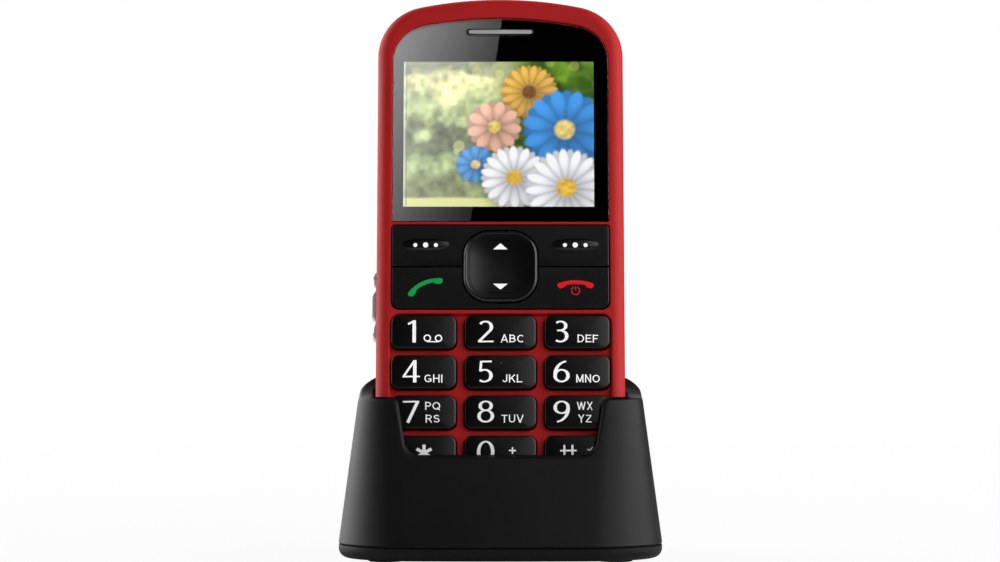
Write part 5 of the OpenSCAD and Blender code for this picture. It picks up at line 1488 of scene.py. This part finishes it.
def pocket_half(outer, side, f):
    """The inner rim, point for point with the outer one: straight across from the notch and the horns,
    corner to corner, and on the rim's cylinder elsewhere."""
    near, far, wide = thick + FRONT_GAP, -POCKET_GAP, half_w + POCKET_GAP
    first = np.cumsum([len(notch_line), CORNER_N, SIDE_N, CORNER_N])
    corner, along, back_corner = [slice(a, b) for a, b in zip(first, first[1:])]
    x = np.where(side == 4, f * (wide - POCKET_R), np.minimum(outer[:, 0], wide))
    deep = np.where(side == 4, far, near) * np.ones(len(f))
    turn = np.linspace(0, np.pi / 2, CORNER_N - FRONT_N + 1)[1:]
    x[corner] = np.concatenate([np.linspace(notch_line[-1, 0], wide - POCKET_R, FRONT_N + 1)[1:],
                                wide - POCKET_R + POCKET_R * np.sin(turn)])
    deep[corner] = np.concatenate([np.full(FRONT_N, near), near - POCKET_R + POCKET_R * np.cos(turn)])
    x[along] = wide
    deep[along] = near - POCKET_R + np.linspace(0, 1, SIDE_N + 1)[1:] * (far - near + 2 * POCKET_R)
    turn = np.pi / 2 * np.linspace(0, 1, CORNER_N + 1)[1:]
    x[back_corner] = wide - POCKET_R + POCKET_R * np.cos(turn)
    deep[back_corner] = far + POCKET_R - POCKET_R * np.sin(turn)
    rise = outer[:, 2].copy()
    for _ in range(ROUNDS):
        up = (rise - ORIGIN[2] / MM - deep * FRONT[2]) / UP[2]
        spot = pocket_point(x, deep, up)
        rise = np.where(on_notch, rise, 0.5 * rise + 0.5 * rim_z(spot[:, 1]))
    return pocket_point(x, deep, up), np.stack([x, deep], 1)


def both_halves(right):
    """Closes the right half into a full ring, anticlockwise from the middle of the front."""
    left = right[-2:0:-1] * ([-1] + [1] * (right.shape[1] - 1))
    return np.concatenate([right, left])


inner_half, pocket_xz = pocket_half(outer_half, side_all, f_all)
outer, foot, inner, pocket_ring = [both_halves(p) for p in (outer_half, foot_half, inner_half, pocket_xz)]
print(f"rim of {len(outer)} points from {outer[:, 2].min():.1f} to {outer[:, 2].max():.1f} mm high")

# %% [markdown]
# Along the rim we need three directions: the wall's outward normal, the rim's own direction, and the
# one that points out of the plastic along the wall. The edge rounds turn between them.

# %% Walls of the cradle
RIM_ROUND = 0.8


def around(points):
    """Direction of a closed ring at each point: the next point less the last."""
    return np.roll(points, -1, 0) - np.roll(points, 1, 0)


wall_dir = unit(np.cross(around(foot), outer - foot))
wall_dir[0] = wall_dir[1] * [0, 1, 1]
rim_dir = unit(around(outer))
out_dir = unit(np.cross(wall_dir, rim_dir))
across_ring = np.column_stack([pocket_ring[:, 0], pocket_ring[:, 1] * FRONT[1], pocket_ring[:, 1] * FRONT[2]])
inner_dir = unit(np.cross(np.broadcast_to(UP, inner.shape), around(across_ring)))
inner_out = unit(out_dir - (out_dir * inner_dir).sum(1, keepdims=True) * inner_dir)
a = np.radians(np.linspace(0, 90, 7))[:, None, None]
outer_round = (outer - RIM_ROUND * (wall_dir + out_dir))[None] + RIM_ROUND * (
    wall_dir[None] * np.cos(a) + out_dir[None] * np.sin(a))
inner_round = (inner - RIM_ROUND * (inner_dir + inner_out))[None] + RIM_ROUND * (
    inner_dir[None] * np.cos(a[::-1]) + inner_out[None] * np.sin(a[::-1]))
wall_share = np.linspace(0, 1, 13)[:-1, None, None]
wall = foot[None] + wall_share * (outer_round[0] - foot)[None]
floor_ring = pocket_point(pocket_ring[:, 0], pocket_ring[:, 1], np.full(len(pocket_ring), -SEAT_GAP))
inner_share = np.linspace(0, 1, 9)[1:, None, None]
inner_wall = inner_round[-1][None] + inner_share * (floor_ring - inner_round[-1])[None]
foot_in = foot - FOOT_IN * wall_dir - [0, 0, FOOT_UP]
lowest = foot_in - CRADLE_WALL * wall_dir * [1, 1, 0]
rows = np.concatenate([lowest[None], foot_in[None], wall, outer_round, inner_round, inner_wall])
print("the shell has", len(rows), "rings of", rows.shape[1], "points")

# %% [markdown]
# The flat middle of the back wall is left out of the rings and triangulated round the inlet's opening. The
# pocket's floor has a hole for each charging pin.

# %% Cradle shell
PIN_HOLE_R, PIN_HOLE_DEPTH = 1.1, 1.5
INLET_SIDE, INLET_UP, INLET_R, INLET_EDGE = 0.35, 0.5, 0.8, 0.25
wall_first, wall_last = 2, 2 + len(wall)
back_first = len(notch_line) + 2 * CORNER_N + SIDE_N - 1
back_last = len(outer) - back_first
shell = Skin()
skipped = np.meshgrid(range(wall_first, wall_last), range(back_first, back_last), indexing="ij")
shell.grid(rows, skip=tuple(index.ravel() for index in skipped))


def floor_place(p):
    """The pocket floor's own x and depth to the cradle's axes."""
    return pocket_point(p[:, 0], -p[:, 1], p[:, 2] - SEAT_GAP)


pin_x, _, pin_z = centre(*phone_box("charge_pin_right"))
floor_outline = np.column_stack([pocket_ring[:, 0], -pocket_ring[:, 1], np.zeros((len(pocket_ring), 2))])
pin_holes = [circle(s * pin_x, -pin_z, PIN_HOLE_R, 24) for s in (-1, 1)]
shell.flat(floor_outline[::-1], pin_holes, place=floor_place, up=False)
for hole in pin_holes:
    shell.grid(sweep(hole, [[0, 0], [0, -PIN_HOLE_DEPTH]]), place=floor_place)

back_normal = np.array([0.0, 1.0, back_slope]) / math.hypot(1.0, back_slope)
back_up = np.array([0.0, -back_slope, 1.0]) / math.hypot(1.0, back_slope)
back_origin = rows[wall_first, back_first] * [0, 1, 1]


def back_place(p):
    """The back wall's own x, slope and outward height to the cradle's axes; x runs left to face backwards."""
    return back_origin - p[:, :1] * [1, 0, 0] + p[:, 1:2] * back_up + p[:, 2:] * back_normal


edge_ids = [*[(row, back_first) for row in range(wall_first, wall_last)],
            *[(wall_last, column) for column in range(back_first, back_last + 1)],
            *[(row, back_last) for row in range(wall_last - 1, wall_first - 1, -1)],
            *[(wall_first, column) for column in range(back_last - 1, back_first, -1)]]
edge_points = rows[tuple(np.array(edge_ids).T)] - back_origin
back_outline = np.column_stack([-edge_points[:, 0], edge_points @ back_up, np.zeros((len(edge_points), 2))])
inlet_lo, inlet_hi = table_box("cradle_inlet")
inlet_v = (centre(inlet_lo, inlet_hi)[2] - back_origin[2]) / back_up[2]
inlet_half = (inlet_hi[2] - inlet_lo[2]) / 2
inlet_open = rounded_rect(inlet_lo[0] - INLET_SIDE, inlet_hi[0] + INLET_SIDE, inlet_v - inlet_half - INLET_UP,
                          inlet_v + inlet_half + INLET_UP, INLET_R)
inlet_rim = round_in(INLET_EDGE, CRADLE_WALL)
shell.flat(back_outline, [grown(inlet_open, inlet_rim[0, 0])], place=back_place)
shell.grid(sweep(inlet_open, inlet_rim), place=back_place)
piece("cradle shell", shell, cradle_black, "cradle", ["cradle_shell"],
      place=on_table, sharp=42)
print("cradle shell of", len(shell.faces), "faces")

# %% [markdown]
# The base plate closes the shell from below. Its lower edge is rounded, it keeps a fine dark line to the
# shell, and four rubber feet sit in shallow round sockets.

# %% Cradle base and feet
GROOVE, GROOVE_EDGE, BASE_EDGE, BASE_PAD, BASE_LIP, LIP_UP = 0.25, 0.1, 2.2, 0.1, 1.6, 0.9
FOOT_R, FOOT_GAP, FOOT_SUNK, FOOT_EDGE, FOOT_HOLE_EDGE = 4.0, 0.1, 0.4, 0.35, 0.15
base_low, groove_z, lip_z = table_box("cradle_base")[0][2], shell_z - GROOVE, shell_z + LIP_UP
base_outline = np.column_stack([foot[:, :2], unit(wall_dir[:, :2])])
base_edge = np.concatenate([round_under(BASE_EDGE, base_low, BASE_PAD, 8),
                            [[0, groove_z - GROOVE_EDGE], [-GROOVE_EDGE, groove_z], [-BASE_LIP, groove_z],
                             [-BASE_LIP, lip_z]]])
base = Skin()
base.grid(sweep(base_outline, base_edge))
foot_lo, foot_hi = table_box("cradle_feet")
foot_spots = [(x, y) for x in (foot_lo[0] + FOOT_R, foot_hi[0] - FOOT_R)
              for y in (foot_lo[1] + FOOT_R, foot_hi[1] - FOOT_R)]
socket_rim = turned_over(round_in(FOOT_HOLE_EDGE, FOOT_SUNK), base_low)
sockets = [circle(x, y, FOOT_R + FOOT_GAP, 40) for x, y in foot_spots]
for o in sockets:
    base.grid(sweep(o, socket_rim))
    base.flat(o, height=base_low + FOOT_SUNK, up=False)
base.flat(grown(base_outline, base_edge[0, 0]), [grown(o, socket_rim[-1, 0]) for o in sockets],
          height=base_low, up=False)
base.flat(grown(base_outline, -BASE_LIP), height=lip_z)
piece("cradle base", base, cradle_black, "cradle", ["cradle_base"],
      place=on_table, sharp=42)

feet = Skin()
foot_edge = turned_over(round_out(FOOT_EDGE, 0.0, foot_hi[2]), foot_hi[2])
for x, y in foot_spots:
    feet.grid(sweep(circle(x, y, FOOT_R, 40), foot_edge))
    feet.flat(circle(x, y, FOOT_R + foot_edge[0, 0], 40), height=0.0, up=False)
piece("rubber feet", feet, rubber, "cradle", ["cradle_feet"], place=on_table)
print(len(foot_spots), "feet under the base")

# %% [markdown]
# The pieces that stay in their CAD shape are mostly hidden: boards, springs, screws and the battery.
# Each still gets the finish of its real material, because they show when the cover or the phone is off.

# %% Finishes of the CAD pieces
steel = finish("bright metal", (0.60, 0.60, 0.61), 0.26, metal=1.0)
gold = finish("gold plating", (0.83, 0.58, 0.20), 0.22, metal=1.0)
board_green = finish("circuit board", (0.012, 0.085, 0.035), 0.38, vary=0.3)
dark = finish("dark plastic", (0.018, 0.018, 0.019), 0.5)
film = finish("clear film", (0.55, 0.55, 0.54), 0.3)
silicone = finish("grey silicone", (0.05, 0.05, 0.052), 0.6)
wrap = finish("battery wrap", (0.045, 0.048, 0.055), 0.4)
dull_steel = finish("dull steel", (0.32, 0.32, 0.33), 0.42, metal=1.0)
frosted = finish("frosted lens", (0.78, 0.79, 0.80), 0.3)
BY_SLOT = {"bright_metal": steel, "gold_contact": gold, "circuit_board": board_green, "dark_plastic": dark,
           "film": film, "silicone": silicone, "battery_wrap": wrap, "steel": dull_steel,
           "clear_plastic": lens_clear, "silver_plastic": silver, "cradle_plastic": cradle_black,
           "key_plastic": key_black, "red_plastic": red, "foot_rubber": rubber, "black_print": mask_black,
           "display_glass": display_dark}
painted = 0
for entry in frame["record"]["subparts"]:
    obj = nodes.get(entry.get("node") or entry.get("name"))
    if obj is not None:
        obj.data.materials.clear()
        obj.data.materials.append(frosted if obj.name == "torch_lens" else BY_SLOT[entry["material_slot"]])
        painted += 1
print(painted, "CAD nodes have a finish")

# %% [markdown]
# The camera stands about level with the phone's middle and a metre away. Its lens is long, so that the
# phone's sides stay nearly parallel.

# %% Camera
PHONE_MIDDLE = Vector((-0.0001, -0.0067, 0.0646))
DISTANCE, TILT, SENSOR, LENS = 1.085, math.radians(1.0), 36.0, 167.5
scene = bpy.context.scene
scene.view_settings.view_transform = "Standard"
camera = bpy.data.cameras.new("camera")
camera.sensor_width = SENSOR
camera.lens = LENS
camera.clip_start, camera.clip_end = 0.05, 50.0
camera_obj = bpy.data.objects.new("camera", camera)
sight = Vector((0.0, math.cos(TILT), -math.sin(TILT)))
camera_obj.location = PHONE_MIDDLE - DISTANCE * sight
camera_obj.rotation_euler = sight.to_track_quat("-Z", "Y").to_euler()
scene.collection.objects.link(camera_obj)
scene.camera = camera_obj
print("camera", DISTANCE, "m away with a lens of", LENS, "mm")

# %% [markdown]
# The studio starts with a white table that runs out of sight. The camera sees it as white, and still sees
# the soft shadow near the object.

# %% Table
REACH, SHADE_FADE = 6.0, (("From Min", 0.1), ("From Max", 0.6), ("To Min", 0.93), ("To Max", 1.0))


def plane(name, corners, material):
    """A flat piece of the studio with four corners, which isn't part of the object."""
    mesh = bpy.data.meshes.new(name)
    mesh.from_pydata(corners, [], [(0, 1, 2, 3)])
    mesh.materials.append(material)
    obj = bpy.data.objects.new(name, mesh)
    bpy.context.scene.collection.objects.link(obj)
    return obj


def white_floor():
    """White table: the camera sees white light, with a share of real shading near the object that keeps its
    soft shadow and fades out over half a metre."""
    material, tree, shader = new_material("white table")
    shader.inputs["Base Color"].default_value = (0.7, 0.7, 0.7, 1.0)
    shader.inputs["Roughness"].default_value = 0.9
    glow = tree.nodes.new("ShaderNodeEmission")
    mix = tree.nodes.new("ShaderNodeMixShader")
    path = tree.nodes.new("ShaderNodeLightPath")
    share = tree.nodes.new("ShaderNodeMapRange")
    where = tree.nodes.new("ShaderNodeTexCoord")
    away = tree.nodes.new("ShaderNodeVectorMath")
    away.operation = "LENGTH"
    fade = tree.nodes.new("ShaderNodeMapRange")
    for socket, value in SHADE_FADE:
        fade.inputs[socket].default_value = value
    wire(tree, where, "Object", away, 0)
    wire(tree, away, "Value", fade, "Value")
    wire(tree, fade, "Result", share, "To Max")
    wire(tree, path, "Is Camera Ray", share, "Value")
    wire(tree, share, "Result", mix, "Fac")
    wire(tree, shader, "BSDF", mix, 1)
    wire(tree, glow, "Emission", mix, 2)
    wire(tree, mix, "Shader", tree.nodes["Material Output"], "Surface")
    return material


floor_corners = [(-REACH, -REACH, 0), (REACH, -REACH, 0), (REACH, REACH, 0), (-REACH, REACH, 0)]
plane("floor", floor_corners, white_floor())
print("table", 2 * REACH, "m wide")

# %% [markdown]
# A large soft light stands on the right, another behind on the left for the bright edges, and a small one
# high on the right for the sheen on the keys.

# %% Lights
def area_light(name, place, size, power):
    """A rectangular lamp that faces the phone's middle."""
    light = bpy.data.lights.new(name, "AREA")
    light.shape = "RECTANGLE"
    light.size, light.size_y = size
    light.energy = power
    obj = bpy.data.objects.new(name, light)
    obj.location = place
    obj.rotation_euler = (PHONE_MIDDLE - place).to_track_quat("-Z", "Y").to_euler()
    scene.collection.objects.link(obj)


def from_side(turn, rise, far):
    """Place seen from the phone at an angle to the right of straight ahead and an angle above level, both in
    degrees, and far metres away."""
    turn, rise = math.radians(turn), math.radians(rise)
    away = Vector((math.sin(turn) * math.cos(rise), -math.cos(turn) * math.cos(rise), math.sin(rise)))
    return PHONE_MIDDLE + far * away


area_light("soft light right", from_side(84, 24, 1.4), (1.8, 1.2), 28.0)
area_light("soft light left", from_side(-110, 20, 1.4), (1.5, 1.2), 23.0)
area_light("sheen on the keys", from_side(34, 36, 0.9), (0.38, 0.45), 1.9)
print(len(bpy.data.lights), "lights")

# %% [markdown]
# A small card high in front is mirrored in the left part of the window. We choose the patch of the window
# that should shine and follow the camera's sight lines from there to find the card's shape.

# %% Card that the window mirrors
CARD_LEFT, CARD_LOW, CARD_TALL, SLANT_LOW, SLANT_RUN = 28.0, 64.0, 57.0, 7.5, 8.4
CARD_REACH, CARD_POWER, DISPLAY_GAMMA = 0.9, 16.0, 2.2
EYE = np.array(camera_obj.location)


def mirrored_spot(x, y):
    """Where a lamp has to stand to be seen in the window at (x, y) of the phone: the sight line to that
    spot, mirrored in the window's plane and followed as far as the card."""
    spot = stand(np.stack([x, y, np.full_like(x, window_top)], -1))
    sight = unit(spot - EYE)
    return spot + CARD_REACH * (sight - 2 * (sight @ FRONT)[..., None] * FRONT)


s, t = np.meshgrid(np.linspace(0, 1, 17), np.linspace(0, 1, 17))
slant_x = -SLANT_LOW + SLANT_RUN * t
card_y = CARD_LOW + CARD_TALL * t
card_x = -CARD_LEFT + s * (slant_x + CARD_LEFT)
shade = (0.37 + 0.23 * t) * (1 - s) + (0.128 + 0.15 * t) * s
card = Skin()
card.grid(mirrored_spot(card_x, card_y), closed=False)
card_mesh = bpy.data.meshes.new("card")
card_mesh.from_pydata(np.concatenate(card.points), [], card.faces)
glow = card_mesh.color_attributes.new("glow", "FLOAT_COLOR", "POINT")
strength = np.broadcast_to(CARD_POWER * shade[..., None] ** DISPLAY_GAMMA, shade.shape + (4,))
glow.data.foreach_set("color", strength.astype(np.float32).ravel())
card_mesh.materials.append(glowing("card", "glow"))
card_obj = bpy.data.objects.new("card", card_mesh)
scene.collection.objects.link(card_obj)
card_obj.visible_camera = False
print("card of", len(card.faces), "faces")

# %% [markdown]
# The room is white to the camera and gives a little even light to matt surfaces. Gloss and glass see it dark
# in front, so that the black keys stay black, and white behind on the left, which brightens the edges there.

# %% Room
ROOM_FADE = (("From Min", 0.45), ("From Max", 1.0), ("To Min", 0.002), ("To Max", 2.4))
EVEN_LIGHT, BEHIND_LEFT = 0.07, (-0.6, 0.8, 0.0)
world = bpy.data.worlds.new("studio")
scene.world = world
world.use_nodes = True
tree = world.node_tree
sky = tree.nodes["Background"]
sky.inputs["Color"].default_value = (1.0, 1.0, 1.0, 1.0)
where = tree.nodes.new("ShaderNodeTexCoord")
leftness = tree.nodes.new("ShaderNodeVectorMath")
leftness.operation = "DOT_PRODUCT"
leftness.inputs[1].default_value = BEHIND_LEFT
white_left = tree.nodes.new("ShaderNodeMapRange")
white_left.interpolation_type = "SMOOTHSTEP"
for socket, value in ROOM_FADE:
    white_left.inputs[socket].default_value = value
path = tree.nodes.new("ShaderNodeLightPath")
mirror = tree.nodes.new("ShaderNodeMath")
mirror.operation = "MAXIMUM"
even = tree.nodes.new("ShaderNodeMix")
even.inputs["A"].default_value = EVEN_LIGHT
seen = tree.nodes.new("ShaderNodeMix")
seen.inputs["B"].default_value = 1.0
wire(tree, where, "Generated", leftness, 0)
wire(tree, leftness, "Value", white_left, "Value")
wire(tree, path, "Is Glossy Ray", mirror, 0)
wire(tree, path, "Is Transmission Ray", mirror, 1)
wire(tree, mirror, "Value", even, "Factor")
wire(tree, white_left, "Result", even, "B")
wire(tree, path, "Is Camera Ray", seen, "Factor")
wire(tree, even, "Result", seen, "A")
wire(tree, seen, "Result", sky, "Strength")
print("room with an even light of", EVEN_LIGHT)
